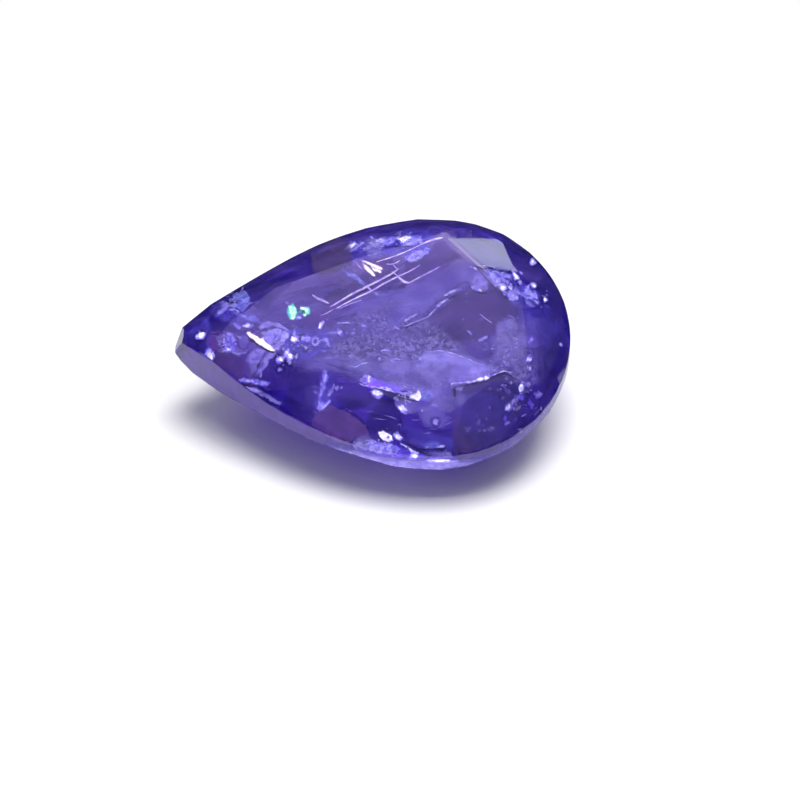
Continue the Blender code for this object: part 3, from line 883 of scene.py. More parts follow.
# Larger sheets: tone, depth in millimetres, how far the edge fades in pixels, cover and outline in
# pixels
Film = namedtuple("Film", "tone depth fade cover outline")
FILMS = rows(Film,
    # Lavender film by the near edge of the table
    ("lavender", 0.3, 6, 0.8, ((414, 360), (428, 350), (445, 351), (462, 355), (482, 361), (500, 367),
     (489, 377), (470, 382), (452, 386), (452, 398), (440, 401), (426, 397), (414, 392), (420, 376))),
    ("pale", 0.26, 6, 0.36, ((418, 366), (426, 354), (442, 352), (462, 357), (486, 366), (496, 370),
     (470, 372), (446, 362), (430, 364))),
    ("pale", 0.28, 6, 0.3, ((450, 372), (470, 366), (490, 370), (486, 376), (468, 381), (450, 384))),
    ("lavender", 0.34, 8, 0.75, ((372, 366), (392, 360), (414, 364), (420, 380), (412, 390), (392, 388),
     (376, 380))),
    ("pale", 0.34, 3, 0.25, ((394, 388), (410, 384), (428, 388), (440, 396), (424, 394), (408, 392))),
    ("lavender", 0.4, 6, 0.42, ((345, 366), (358, 358), (378, 362), (374, 374), (356, 376))),
    # Streams across the table
    ("lavender", 0.6, 8, 0.6, ((300, 372), (330, 352), (372, 342), (412, 344), (420, 356), (380, 360),
     (340, 366))),
    ("lavender", 0.55, 9, 0.6, ((410, 292), (440, 272), (470, 264), (482, 274), (462, 286), (440, 300),
     (414, 312))),
    ("lavender", 0.7, 9, 0.6, ((350, 300), (400, 290), (430, 292), (436, 304), (414, 314), (398, 326),
     (362, 322))),
    ("lavender", 0.5, 6, 0.7, ((396, 306), (424, 300), (438, 304), (420, 314), (400, 324), (388, 322))),
    ("lavender", 0.6, 6, 0.5, ((350, 322), (376, 316), (396, 320), (388, 332), (360, 332))),
    ("pale", 0.35, 6, 0.28, ((498, 323), (506, 319), (512, 318), (516, 324), (514, 330), (506, 334),
     (497, 333))),
    ("lavender", 0.35, 10, 0.33, ((492, 338), (516, 332), (530, 340), (522, 352), (514, 364), (500, 368),
     (494, 356))),
    ("pale", 0.3, 4, 0.5, ((476, 272), (484, 273), (490, 280), (486, 290), (476, 288), (470, 282))),
    ("brown", 0.6, 6, 0.8, ((334, 338), (356, 336), (380, 340), (376, 354), (360, 360), (342, 356))),
    ("mauve", 0.6, 6, 0.6, ((304, 316), (318, 310), (332, 306), (332, 326), (312, 330), (302, 326))),
    # Painted shade: darker polygons that the pavilion mirrors, laid as dark films
    ("brown", 0.9, 3, 1.0, ((418, 327), (438, 310), (455, 295), (470, 286), (483, 291), (497, 287),
     (512, 305), (518, 317), (500, 320), (492, 332), (482, 344), (452, 343), (428, 341), (412, 336))),
    ("shade_navy", 0.8, 6, 0.35, ((408, 330), (440, 322), (478, 330), (470, 342), (436, 341), (414, 338))),
    ("brown", 0.8, 3, 0.7, ((405, 262), (424, 248), (444, 241), (462, 258), (440, 266), (420, 276),
     (404, 282))),
    ("brown", 0.8, 4, 0.7, ((320, 302), (344, 288), (366, 272), (372, 284), (352, 296), (334, 304))),
    ("brown", 0.8, 4, 0.8, ((364, 258), (392, 258), (398, 272), (384, 282), (366, 276))),
    ("shade_navy", 0.6, 4, 0.6, ((290, 372), (321, 370), (319, 398), (312, 426), (300, 424), (284, 404))),
    ("shade_navy", 0.5, 2, 0.8, ((336, 397), (345, 393), (362, 392), (372, 398), (368, 406), (356, 410),
     (345, 409))),
    ("shade_navy", 0.5, 2, 0.8, ((376, 405), (381, 401.5), (391, 401), (397, 405), (400, 412), (403, 421),
     (402, 430), (394, 432), (383, 431), (374, 430), (366, 425), (370, 412))),
    ("shade_navy", 0.3, 2, 1.0, ((241, 391), (247, 393), (255, 394), (263, 398), (272, 404), (280, 408),
     (283, 414), (274, 412), (262, 407), (252, 401), (245, 396))),
    ("brown", 0.5, 3, 0.7, ((456, 388), (472, 385), (490, 380), (506, 376), (516, 384), (502, 402),
     (499, 430), (500, 448), (476, 456), (455, 458), (453, 430), (458, 410))),
    ("shade_navy", 0.45, 6, 0.5, ((470, 390), (500, 380), (514, 386), (506, 404), (482, 410), (466, 400))),
    ("blue", 0.4, 6, 0.6, ((462, 396), (482, 392), (502, 400), (498, 424), (474, 432), (460, 418))),
    ("shade_navy", 0.3, 5, 0.6, ((486, 432), (512, 424), (536, 404), (548, 398), (540, 416), (516, 438),
     (494, 450), (474, 450))),
    ("mauve", 0.3, 1.6, 1.0, ((311, 426), (314, 417), (318, 412), (326, 407), (330, 404), (336, 407),
     (346, 412), (355, 417), (362, 423), (367, 430), (370, 434), (364, 438), (356, 437), (350, 443),
     (338, 442), (326, 437), (316, 432))),
    ("brown", 0.25, 2, 1.0, ((213, 353), (222, 352), (233, 353), (240, 358), (244, 366), (245, 374),
     (240, 379), (232, 378), (222, 374), (215, 368), (211, 360))),
    ("mauve", 0.3, 3, 0.8, ((206, 330), (218, 331), (224, 340), (222, 350), (214, 354), (207, 348),
     (203, 338))),
    ("shade_navy", 0.3, 4, 0.7, ((203, 325), (222, 318), (236, 326), (240, 332), (222, 332), (208, 332))),
    ("shade_navy", 0.4, 3, 0.7, ((246, 292), (262, 284), (283, 279), (290, 281), (276, 298), (262, 310),
     (251, 304))),
    ("shade_navy", 0.4, 4, 0.5, ((272, 350), (296, 342), (316, 350), (300, 364), (278, 366))),
    ("shade_navy", 0.2, 3, 0.65, ((503, 242), (530, 250), (552, 272), (562, 300), (556, 314), (540, 296),
     (524, 276), (511, 264))),
    ("shade_navy", 0.25, 6, 0.42, ((540, 320), (562, 318), (566, 350), (560, 384), (546, 398), (536, 372))),
    # Fine mottling
    ("mottle", 0.35, 8, 0.4, ((500, 330), (524, 318), (548, 320), (558, 346), (546, 378), (526, 390),
     (502, 372), (494, 350))),
    ("mottle", 0.5, 14, 0.5, ((310, 345), (340, 322), (392, 300), (424, 318), (462, 346), (476, 364),
     (420, 378), (356, 366))),
    ("blue", 0.2, 8, 0.38, ((520, 310), (548, 306), (560, 330), (548, 350), (524, 340))),
    # Painted shade: dark films that darken crown facets and the tip's end, and cover bright glints
    ("shade_navy", 0.22, 3, 0.8, ((186, 336), (198, 333), (206, 340), (206, 352), (198, 358), (188, 350))),
    ("brown", 0.06, 4, 0.95, ((310, 254), (330, 240), (348, 240), (352, 262), (334, 272), (314, 272))),
    ("shade_navy", 0.04, 2, 0.9, ((506, 236), (519, 239), (530, 250), (522, 256), (510, 247))),
    ("shade_navy", 0.04, 1.5, 0.9, ((177, 350), (179, 340), (184, 329), (187, 333), (186, 349), (181, 357))),
    ("shade_navy", 0.12, 8, 0.35, ((470, 392), (512, 380), (548, 384), (540, 412), (508, 438), (476, 452),
     (458, 430))),
    ("shade_navy", 0.16, 6, 0.12, ((536, 310), (556, 300), (566, 330), (564, 372), (548, 392), (540, 350))),
    ("mauve", 0.15, 6, 0.32, ((196, 356), (214, 352), (246, 360), (262, 384), (250, 400), (222, 384),
     (200, 370))),
    # Painted reflection: a glowing strip that carries the bright facet's mirrored light past its edge
    ("painted_reflection", 0.045, 1.0, 1.0, ((446.5, 238.2), (453, 238.2), (485.5, 269.5), (477, 265.5))),
    # Crushed crystal by the tip
    ("ice", 0.16, 1.4, 1.0, ((232.5, 297.5), (236, 293.5), (241, 292.5), (245, 290), (247, 294),
     (249.5, 299), (249, 303), (246, 308), (243, 311.5), (240, 311), (237, 307.5), (233, 306), (238, 303.5),
     (241, 301), (236, 300.5))),
    ("ice", 0.2, 2, 0.8, ((230, 308), (236, 309), (241, 314), (247, 316), (254, 315), (258, 318),
     (259, 322), (252, 321), (243, 319), (235, 314))),
    ("blue", 0.2, 4, 1.0, ((212, 306), (222, 302), (230, 308), (246, 316), (250, 322), (238, 324),
     (222, 320), (212, 314))),
    ("blue", 0.25, 4, 0.8, ((182, 340), (196, 326), (208, 318), (212, 330), (206, 348), (192, 350))),
    ("pale", 0.2, 1.4, 0.8, ((233, 323), (238, 323), (242, 326.5), (240, 329.5), (235, 327))),
    ("pale", 0.26, 1.6, 0.75, ((258, 328), (261, 323), (268, 321), (276, 322.5), (283, 326.5), (289, 331),
     (283, 329), (276, 326.5), (268, 326), (262, 329))),
    ("crackle", 0.2, 1.2, 1.0, ((263.5, 336), (267, 332), (273, 329.5), (279, 328.5), (281.5, 331),
     (279.5, 336), (276, 340), (272, 345), (268.5, 343), (265, 340))),
    ("pale", 0.18, 1.2, 0.9, ((281.5, 333), (284, 330), (288.5, 333), (288.5, 338), (285, 340.5),
     (281, 345), (279.5, 350.5), (275, 350), (276, 345), (279, 341), (282, 338))),
    # Painted highlight: this warm bar is a glint along the table's edge
    ("warm", 0.1, 0.8, 1.0, ((247.4, 332.2), (250, 332.3), (255.5, 336), (260.6, 339.4), (262.6, 337.6),
     (263.6, 340.6), (268, 344.4), (273, 348.2), (274.2, 350.6), (271, 350.6), (264.4, 347), (256.6, 342),
     (250, 337), (247.4, 334.2))),
    ("crackle", 0.15, 1.2, 1.0, ((226, 334), (229, 332.5), (232, 334), (234, 338), (236, 344), (236, 350),
     (232, 351.5), (230, 349), (226, 351), (222, 352.5), (225, 347), (222, 341), (226, 339))),
    ("lavender", 0.16, 1.4, 1.0, ((240, 335), (246, 336), (249, 343), (247, 349), (241, 348), (239, 342))),
    ("lavender", 0.15, 1.2, 0.9, ((216, 336), (220, 337), (221, 341), (217, 340))),
    ("crackle", 0.14, 1.2, 1.0, ((199, 351), (202, 354), (205, 356), (206, 350.5), (209, 348), (213, 351),
     (214.5, 357), (211, 361), (207, 359), (203, 360), (200, 363), (198.5, 361), (201, 357))),
    ("pale", 0.2, 2, 0.75, ((244.5, 362), (248, 356), (252, 351.5), (257, 348.5), (263, 349.5), (266, 353),
     (263, 358), (260, 364), (255, 363), (250, 363.5))),
    ("lavender", 0.2, 2, 1.0, ((248, 363), (259, 363), (257, 369), (254, 374), (251, 378), (248, 378),
     (250, 370))),
    ("pale", 0.16, 1.4, 0.8, ((267, 354), (271, 352), (277, 352), (274, 356), (269, 359), (268, 364),
     (265, 368), (260, 372), (256, 376.5), (257.5, 371), (262, 366), (264, 359))),
    ("crackle", 0.14, 1.4, 1.0, ((238, 379.5), (244, 378), (254, 379.5), (263, 381), (270, 382.5),
     (268, 385), (258, 384), (247, 382.5), (240, 382))),
    ("pale", 0.14, 1.4, 0.75, ((237, 386.5), (243, 387), (250, 388), (257, 388.5), (262, 391), (258, 392.5),
     (250, 391.5), (244, 390.5))),
    ("lavender", 0.15, 1.4, 1.0, ((254, 390), (262, 392), (270, 395), (275, 399), (281.5, 402), (280, 405),
     (273, 402), (266, 398), (259, 395))),
    ("crackle", 0.24, 1.2, 1.0, ((299, 337.5), (303, 335.5), (309, 336.5), (312, 338.5), (309, 341.5),
     (303, 341.5))),
    ("pale", 0.24, 1.2, 0.9, ((311, 339), (314, 336), (318, 337.5), (320, 341), (318, 345.5), (314, 346),
     (311.5, 343))),
    ("shade_navy", 0.22, 1.0, 1.0, ((314, 340), (316, 339), (317, 341.5), (315.5, 344), (313.8, 342.5))),
    ("pale", 0.24, 1.2, 0.9, ((322, 340), (325, 337.5), (328.5, 339), (330, 343), (329, 347), (326.5, 345),
     (325.5, 341.5))),
    ("pale", 0.15, 1.2, 0.7, ((231, 350.5), (238, 353), (245, 352), (248, 349), (246, 353.6), (239, 355),
     (232, 352.6))),
    ("pale", 0.15, 1.2, 0.6, ((221, 304), (225, 301.5), (229, 304), (227, 309), (223, 312), (219, 316),
     (217, 313), (222, 309))),
    ("blue", 0.3, 5, 1.0, ((284, 328), (310, 330), (330, 334), (332, 346), (314, 356), (296, 364),
     (284, 352))),
    ("crackle", 0.25, 1.2, 0.9, ((323.5, 370), (327, 371), (328, 379), (325, 384), (324, 390), (321, 396),
     (322, 402), (326, 402), (329, 399.5), (331, 401.5), (326, 406), (319, 411.5), (316.5, 408), (319, 400),
     (320, 390), (322, 380))),
    ("lavender", 0.25, 1.4, 0.9, ((334.5, 383), (335.5, 386), (333, 391.5), (329, 397), (326.5, 396),
     (330, 389))),
    ("blue", 0.3, 3, 0.8, ((322, 372), (336, 374), (338, 386), (330, 400), (318, 412), (313, 404),
     (318, 388))),
    # Crackled strip along the far side
    ("blue", 0.14, 4, 0.9, ((336, 256), (350, 244), (372, 235), (420, 230), (440, 234), (424, 248),
     (392, 256), (356, 262))),
    ("pale", 0.12, 1.4, 0.7, ((345, 251), (352, 249), (360, 243.5), (366, 240.5), (364, 243), (357, 249),
     (350, 253))),
    ("lavender", 0.12, 2, 1.0, ((366, 238), (376, 238), (384, 246), (378, 254), (370, 259), (366, 250))),
    ("crackle", 0.11, 1.4, 0.9, ((384, 240), (388, 238), (396, 237.5), (394, 242), (388, 245.5),
     (382, 244.5))),
    ("crackle", 0.11, 2, 0.8, ((408, 239), (418, 236.5), (422, 240), (416, 244), (408, 245.5), (402, 244))),
    ("crackle", 0.2, 2, 0.8, ((404, 256), (414, 249.5), (424, 246), (431, 248), (428, 253), (418, 259),
     (411, 262), (405, 260))),
    ("lavender", 0.2, 2, 0.8, ((398, 252), (410, 248), (418, 246), (410, 254), (402, 258))),
    ("warm", 0.18, 0.8, 1.0, ((361.6, 260.2), (366, 260.9), (371, 263.2), (376.5, 265.4), (380.6, 267.2),
     (382.4, 268.8), (380.6, 269.6), (374, 266.9), (367.6, 263.8))),
    ("warm", 0.18, 0.8, 1.0, ((363.6, 264.4), (366.2, 265.6), (370, 269.4), (373.4, 273), (375.4, 276),
     (373, 275.8), (368.4, 272), (364.8, 268))),
    ("warm", 0.18, 0.8, 1.0, ((372, 267.2), (376, 268.6), (381.4, 271.6), (380.4, 272.8), (376.6, 271.4),
     (372.4, 269.2))),
    ("ice", 0.28, 2, 1.0, ((343, 270), (346, 271), (350, 273.5), (356, 275), (361, 279.5), (367, 284.5),
     (362, 284), (355, 280), (348, 276))),
    ("lavender", 0.4, 2, 0.9, ((372, 291), (378, 292), (381, 296), (376, 296))),
    ("lavender", 0.4, 2, 0.9, ((382, 295), (388, 293), (394, 289.5), (391, 294), (386, 297.5))),
    # Crushed crystal on the head side
    ("crackle", 0.09, 2, 0.45, ((484, 270), (492, 270.5), (500, 272), (512, 274), (511, 280), (504, 278),
     (499, 284), (493, 280), (488, 275))),
    ("blue", 0.14, 3, 0.8, ((498, 280), (512, 278), (524, 284), (538, 292), (540, 304), (524, 308),
     (512, 304), (504, 294))),
    ("pale", 0.09, 1.4, 0.5, ((506.5, 293.5), (511, 289.5), (518, 288), (519.5, 291), (517, 299),
     (512, 301.5), (508.5, 297.5))),
    ("crackle", 0.09, 1.4, 0.65, ((526, 286), (529, 288.5), (530, 292), (536, 291), (537.5, 298),
     (532, 300), (526, 298), (522, 296), (524, 292))),
    ("lavender", 0.1, 1.6, 0.9, ((533, 299), (538, 300), (539, 305), (535, 303))),
    ("lavender", 0.1, 1.6, 0.8, ((525, 300), (530, 302), (535, 307), (530, 307), (526, 304))),
    # Hazes and flakes below the table
    ("white", 0.14, 1.0, 1.0, ((409, 397), (414, 394), (418, 390.3), (420.4, 392), (420.8, 396),
     (419, 400.4), (414, 398.8))),
    ("pale", 0.14, 1.2, 0.9, ((396, 391), (404, 392.8), (411, 390.6), (413.5, 392.6), (405, 395.4),
     (399, 393.4))),
    ("white", 0.13, 1.0, 1.0, ((377.8, 433), (382, 431.4), (388, 433.8), (392, 436.8), (392.4, 440),
     (389, 442), (384, 440.2), (380, 436.6))),
    ("lavender", 0.22, 2, 1.0, ((394, 402), (400, 401), (410, 400), (425, 401), (438, 404), (436, 408),
     (430, 410.5), (415, 412.5), (406, 413), (398, 408))),
    ("ice", 0.22, 3, 0.6, ((422, 392), (430, 391), (434, 397), (428, 402), (422, 399))),
    ("lavender", 0.25, 5, 0.6, ((416, 408), (440, 408), (450, 418), (440, 428), (424, 424))),
    ("blue", 0.3, 6, 0.6, ((404, 428), (430, 432), (452, 438), (452, 452), (430, 450), (410, 442))),
    ("ice", 0.25, 3, 0.6, ((422, 444), (432, 442), (441, 443), (438, 448), (426, 449))),
    ("lavender", 0.3, 5, 0.5, ((436, 386), (454, 384), (466, 400), (458, 412), (440, 412), (430, 398))),
    ("lavender", 0.1, 1.6, 1.0, ((450, 386), (458, 384), (467, 383), (462, 390.5), (456, 390))),
    ("crackle", 0.1, 1.6, 1.0, ((367, 445), (371, 440), (375, 440.5), (381, 443), (389, 443.5), (396, 446),
     (400, 449), (396, 452.5), (386, 453), (376, 452), (370, 449.5))),
    ("lavender", 0.12, 4, 0.6, ((354, 440), (362, 437), (370, 437), (374, 442), (366, 449), (357, 447))),
    ("lavender", 0.12, 2, 0.8, ((430, 452), (446, 451), (455, 458), (440, 459), (424, 457))),
    ("violet", 0.12, 3, 0.6, ((396, 446), (410, 450), (424, 456), (414, 460), (398, 456))),
    # Milky girdle along the near side
    ("lavender", 0.06, 3, 1.0, ((322, 447), (345, 450), (372, 455), (402, 460), (440, 463), (480, 461),
     (505, 452), (500, 459), (470, 470), (436, 473), (400, 471), (364, 465), (336, 456))),
    ("pale", 0.05, 5, 0.65, ((336, 451), (372, 456), (404, 461), (440, 464), (464, 464), (440, 471),
     (404, 471), (366, 463))),
    ("lavender", 0.06, 3, 0.6, ((500, 453), (520, 440), (536, 427), (548, 417), (541, 429), (524, 443),
     (508, 453))),
    # Painted shade: a deep plum film that darkens the grey light of the near-left girdle
    ("plum", 0.05, 1.5, 1.0, ((176.5, 349.5), (183, 342.5), (200, 353.5), (225, 371), (255, 394.5),
     (285, 413.5), (322, 432), (330, 456), (322, 450), (280, 430), (240, 406), (220, 396), (205, 386),
     (186, 371))),
)


def tone_material(name, tone, glow):
    """A film's material: two mottled tones with a painted glow, and cover that follows its haze and streaks.
    """
    material, tree, shader = plain_material(name)
    limits = {"low": tone.low, "high": tone.high}
    mottle = masked(tree, CLOUDS, -1100, 500, scale=tone.grain, detail=6.0, bend=0.6, **limits)
    flowing = masked(tree, STREAKS, -1100, 200, along=tone.grain * 0.35, across=tone.grain * 1.4, detail=5.0,
                     bend=0.5, **limits)
    if tone.cells:
        grain = masked(tree, CELLS, -1100, -100, scale=tone.cells, bend=0.15, low=0.15, high=0.95)
    else:
        grain = masked(tree, CLOUDS, -1100, -100, scale=tone.grain * 1.6, detail=4.0, low=0.38, high=0.62)
    patchy = math_node(tree, "MAXIMUM", -800, 400, mottle, flowing)
    cover = math_node(tree, "MULTIPLY", -600, 100, patchy, stored(tree, -1100, -400, "haze"))
    colour_with_painted_glow(shader, blend(tree, -400, 400, grain, tone.deep, tone.pale), tone.glow * glow, 0.5)
    feed(shader, Alpha=math_node(tree, "MULTIPLY", -400, 100, cover, tone.cover))
    return material


def torn(outline, rng, tear):
    """An outline in pixels with points added between its own and all moved a little."""
    points = []
    for index, (ax, ay) in enumerate(outline):
        bx, by = outline[(index + 1) % len(outline)]
        reach = tear * min(math.hypot(bx - ax, by - ay) / 12.0, 1.0)
        points.append((ax, ay))
        for share in (0.33, 0.67):
            points.append((ax + (bx - ax) * share + rng.uniform(-reach, reach),
                           ay + (by - ay) * share + rng.uniform(-reach, reach)))
    return points


def flake_outline(flake, rng, corners, rough, share=1.0, margin=0.0):
    """Ragged outline of a share of a flake, with a margin in pixels round it."""
    long, wide = [half * share + margin for half in flake.half]
    return ragged(flake.middle, long, wide, flake.turn, rng, corners, rough)


def make_films(settings):
    """Healed cracks and flakes, one piece for each tone, with painted shade rings round some.

    Some films are painted shade, painted highlights or a painted reflection.
    """
    rng = random.Random(17)
    meshes = {tone: sheet_mesh() for tone in TONES}

    def level_sheet(tone, outline, step, fade, depth, cover):
        add_sheet(meshes[tone], outline, step, fade, lambda px, py: depth, lambda px, py: cover)

    for film in FILMS:
        outline = torn(film.outline, rng, 0.0 if film.tone == "painted_reflection" else FILM_TEAR)
        step = min(max(film.fade * 0.8, 1.2), 2.6)
        level_sheet(film.tone, outline, step, film.fade, film.depth, film.cover)
    for flake in FLAKES:
        white = flake.tone == "white"
        core = flake_outline(flake, rng, 11, 0.45, share=CORE_SHARE if white else 1.0)
        level_sheet(flake.tone, core, 0.7, 1.6, flake.depth, 1.0)
        if white:
            fringe = flake_outline(flake, rng, 9, 0.5, margin=1.0)
            level_sheet("crackle", fringe, 0.9, 2.0, flake.depth + SHADE_RING_DROP / 2, 0.9)
        # Painted shade: a dark ring round the flake
        if flake.ring:
            around = flake_outline(flake, rng, 11, 0.15, margin=2.4)
            level_sheet("shade_navy", around, 1.1, 3.0, flake.depth + SHADE_RING_DROP, flake.ring)
    for tone, bm in meshes.items():
        sheet_piece(f"films_{tone}", bm, tone_material(f"film_{tone}", TONES[tone], settings.film_glow))


# Fields of small crystals and bubbles: middle and half sizes in pixels, turn in degrees, how many,
# their sizes in millimetres and their depths
Field = namedtuple("Field", "middle half turn count sizes depths seed")
GRAIN_FIELDS = rows(Field,
    ((505, 283), (18, 8), 35, 14, (0.05, 0.12), (0.05, 0.25), 1),
    ((520, 294), (16, 7), 30, 12, (0.04, 0.12), (0.05, 0.25), 2),
    ((532, 294), (7, 6), 20, 6, (0.06, 0.12), (0.05, 0.15), 3),
    ((396, 243), (32, 5), -4, 22, (0.04, 0.12), (0.05, 0.2), 4),
    ((420, 252), (12, 7), -30, 10, (0.04, 0.1), (0.1, 0.3), 5),
    ((380, 448), (18, 7), 8, 36, (0.03, 0.09), (0.05, 0.25), 6),
    ((508, 346), (22, 16), -20, 30, (0.03, 0.08), (0.2, 0.8), 7),
    ((292, 344), (20, 10), -5, 10, (0.04, 0.11), (0.1, 0.4), 8),
    ((288, 364), (10, 9), 0, 5, (0.04, 0.1), (0.1, 0.3), 9),
    ((236, 300), (12, 11), -30, 12, (0.05, 0.13), (0.1, 0.4), 10),
    ((228, 342), (13, 8), 10, 7, (0.05, 0.13), (0.1, 0.3), 11),
    ((508, 388), (10, 10), 0, 7, (0.04, 0.09), (0.1, 0.3), 12),
    ((485, 420), (14, 14), 0, 6, (0.04, 0.09), (0.1, 0.4), 13),
    ((523, 398), (16, 14), 0, 12, (0.04, 0.1), (0.1, 0.3), 14),
    ((410, 400), (16, 9), 25, 20, (0.04, 0.09), (0.2, 0.4), 15),
    ((545, 300), (10, 16), 0, 14, (0.03, 0.08), (0.1, 0.3), 16),
)
DUST_FIELDS = rows(Field,
    ((400, 330), (110, 45), -8, 200, (0.01, 0.026), (0.2, 1.6), 20),
    ((440, 360), (70, 20), 5, 120, (0.01, 0.026), (0.2, 1.0), 21),
    ((255, 345), (40, 22), 0, 50, (0.01, 0.028), (0.1, 0.8), 22),
    ((400, 425), (90, 22), 8, 60, (0.01, 0.026), (0.1, 0.8), 23),
    ((520, 370), (35, 50), 0, 70, (0.01, 0.026), (0.1, 0.8), 24),
    ((400, 250), (90, 12), -14, 70, (0.01, 0.026), (0.05, 0.4), 25),
)


def strewn(rng, field, limit):
    """A pixel of a field, mostly near its middle and never further than some half sizes from it."""
    x, y = [max(min(rng.gauss(0, 0.5), limit), -limit) * half for half in field.half]
    return turned(field.middle, x, y, field.turn)


def add_crystals(bm, fields):
    """Crystals of fields, thickest at their middles."""
    for field in fields:
        rng = random.Random(field.seed)
        for _ in range(field.count):
            px, py = strewn(rng, field, 1.1)
            size = rng.uniform(*field.sizes) * rng.uniform(0.5, 1.0)
            crystal(bm, under(px, py, rng.uniform(*field.depths)), size * MM, rng, rng.uniform(1.0, 1.8))


def make_grains(settings):
    """Clusters of small milky crystals."""
    bm = bmesh.new()
    add_crystals(bm, GRAIN_FIELDS)
    piece("grains", bm, milky_material(
        "grain_milky", settings.grain_colour, (0.30, 0.26, 0.70), settings.painted_glint * 0.35, 4.0))


def make_dust(settings):
    """Pinpoints strewn through the stone."""
    bm = bmesh.new()
    add_crystals(bm, DUST_FIELDS)
    piece("pinpoints", bm, milky_material(
        "pinpoint_pale", (0.72, 0.68, 0.98), (0.36, 0.32, 0.80), settings.painted_glint * 0.5, 1.0))


# Fields of shards of crushed crystal, mostly towards the tip, their sizes in pixels
SHARD_FIELDS = rows(Field,
    ((238, 300), (15, 12), -35, 30, (1.6, 4.6), (0.1, 0.3), 41),
    ((228, 342), (14, 8), 10, 24, (1.6, 4.2), (0.1, 0.25), 42),
    ((268, 338), (20, 10), 15, 20, (2.0, 6.0), (0.15, 0.35), 43),
    ((262, 366), (12, 12), -50, 6, (2.0, 6.0), (0.15, 0.3), 44),
    ((300, 344), (24, 8), -3, 30, (1.4, 3.6), (0.2, 0.4), 45),
    ((375, 244), (40, 6), -12, 34, (2.0, 6.0), (0.06, 0.2), 46),
    ((320, 395), (6, 22), 10, 16, (1.5, 4.0), (0.2, 0.4), 47),
    ((405, 402), (26, 12), 20, 8, (2.0, 6.0), (0.2, 0.4), 48),
    ((375, 447), (24, 6), 8, 30, (2.0, 5.0), (0.06, 0.2), 49),
    ((508, 288), (24, 8), 30, 26, (2.0, 5.0), (0.05, 0.15), 50),
    ((520, 404), (18, 18), -45, 16, (1.5, 4.0), (0.1, 0.3), 51),
    ((505, 345), (22, 14), -25, 22, (1.5, 4.0), (0.3, 0.8), 53),
)


def make_shards(settings):
    """Crushed zones: many thin shards lying every way."""
    bm = bmesh.new()
    for field in SHARD_FIELDS:
        rng = random.Random(field.seed)
        for _ in range(field.count):
            px, py = strewn(rng, field, 1.0)
            long = rng.uniform(*field.sizes)
            turn = field.turn + rng.uniform(-45, 45)
            outline = ragged((px, py), long, long * rng.uniform(0.15, 0.5), turn, rng, 6)
            slant = rng.uniform(-0.06, 0.06)
            depth = rng.uniform(*field.depths)
            points = [under(x, y, max(depth + slant * (x - px) / long, SKIN / MM)) for x, y in outline]
            plate(bm, points, SHARD_THICKNESS)
    material, tree, shader = plain_material("shard_lavender")
    mask = masked(tree, CLOUDS, -700, 200, scale=2.5, detail=4.0, low=0.35, high=0.65)
    tone = blend(tree, -400, 200, mask, settings.shard_colour, (0.60, 0.56, 0.98))
    colour_with_painted_glow(shader, tone, settings.painted_glint * 0.6, 0.4)
    feed(shader, Alpha=patchy_cover(tree, settings.shard_cover, scale=3.5, low=0.3, high=0.7))
    piece("shards", bm, material)


# Broad veils under the whole table, their haze strongest in soft spots: middle and half sizes in
# pixels, turn in degrees and strength
Spot = namedtuple("Spot", "middle half turn strength")
TABLE_OUTLINE = (
    (241, 325), (275, 295), (360, 265), (446, 238), (476, 265), (521, 312),
    (524, 360), (489, 377), (418, 396), (342, 376), (274, 351),
)
UPPER_SPOTS = rows(Spot,
    ((385, 300), (75, 22), -25, 0.7),
    ((300, 315), (50, 24), -20, 0.6),
    ((430, 280), (40, 16), -25, 0.6),
    ((345, 345), (50, 20), -18, 0.6),
    ((500, 335), (24, 16), -30, 0.7),
)
LOWER_SPOTS = rows(Spot,
    ((450, 366), (52, 14), 3, 0.9),
    ((400, 345), (44, 16), 8, 0.7),
    ((500, 352), (26, 12), -25, 0.6),
    ((370, 362), (44, 12), 4, 0.8),
    ((330, 352), (34, 14), -12, 0.8),
    ((400, 318), (44, 14), -25, 0.7),
)


def haze_at(px, py, spots):
    """Haze of a sheet at a pixel: the sum of its soft spots."""
    total = 0.0
    for spot in spots:
        x, y = turned((0.0, 0.0), px - spot.middle[0], py - spot.middle[1], -spot.turn)
        total += spot.strength * math.exp(-((x / spot.half[0]) ** 2 + (y / spot.half[1]) ** 2))
    return min(total, 1.0)


def veil(name, spots, depth, swell, material):
    """A gently waving sheet under the table."""
    bm = sheet_mesh()

    def wave(px, py):
        return depth + swell * (math.sin(px / 23.0 + py / 31.0) * 0.6 + math.sin(py / 13.0 - px / 37.0) * 0.4)

    add_sheet(bm, TABLE_OUTLINE, 3.5, 5.0, wave, lambda px, py: haze_at(px, py, spots))
    sheet_piece(name, bm, material)


def veil_material(name, pale, deep, cover, glow, along, across, low, high):
    """A veil's material: fine streaks along the flow, over two slow tones, with a painted glow."""
    material, tree, shader = plain_material(name)
    fine = masked(tree, STREAKS, -1100, 400, along=along, across=across, detail=8.0, bend=0.8,
                  low=low, high=high)
    tones = masked(tree, STREAKS, -1100, 0, along=along * 1.6, across=across * 0.6, detail=6.0, bend=0.4,
                   low=0.40, high=0.60)
    thick = math_node(tree, "MULTIPLY", -600, 100, fine, stored(tree, -1100, -400, "haze"))
    colour_with_painted_glow(shader, blend(tree, -400, 400, tones, deep, pale), glow, 0.6)
    feed(shader, Alpha=math_node(tree, "MULTIPLY", -400, 100, thick, cover))
    return material


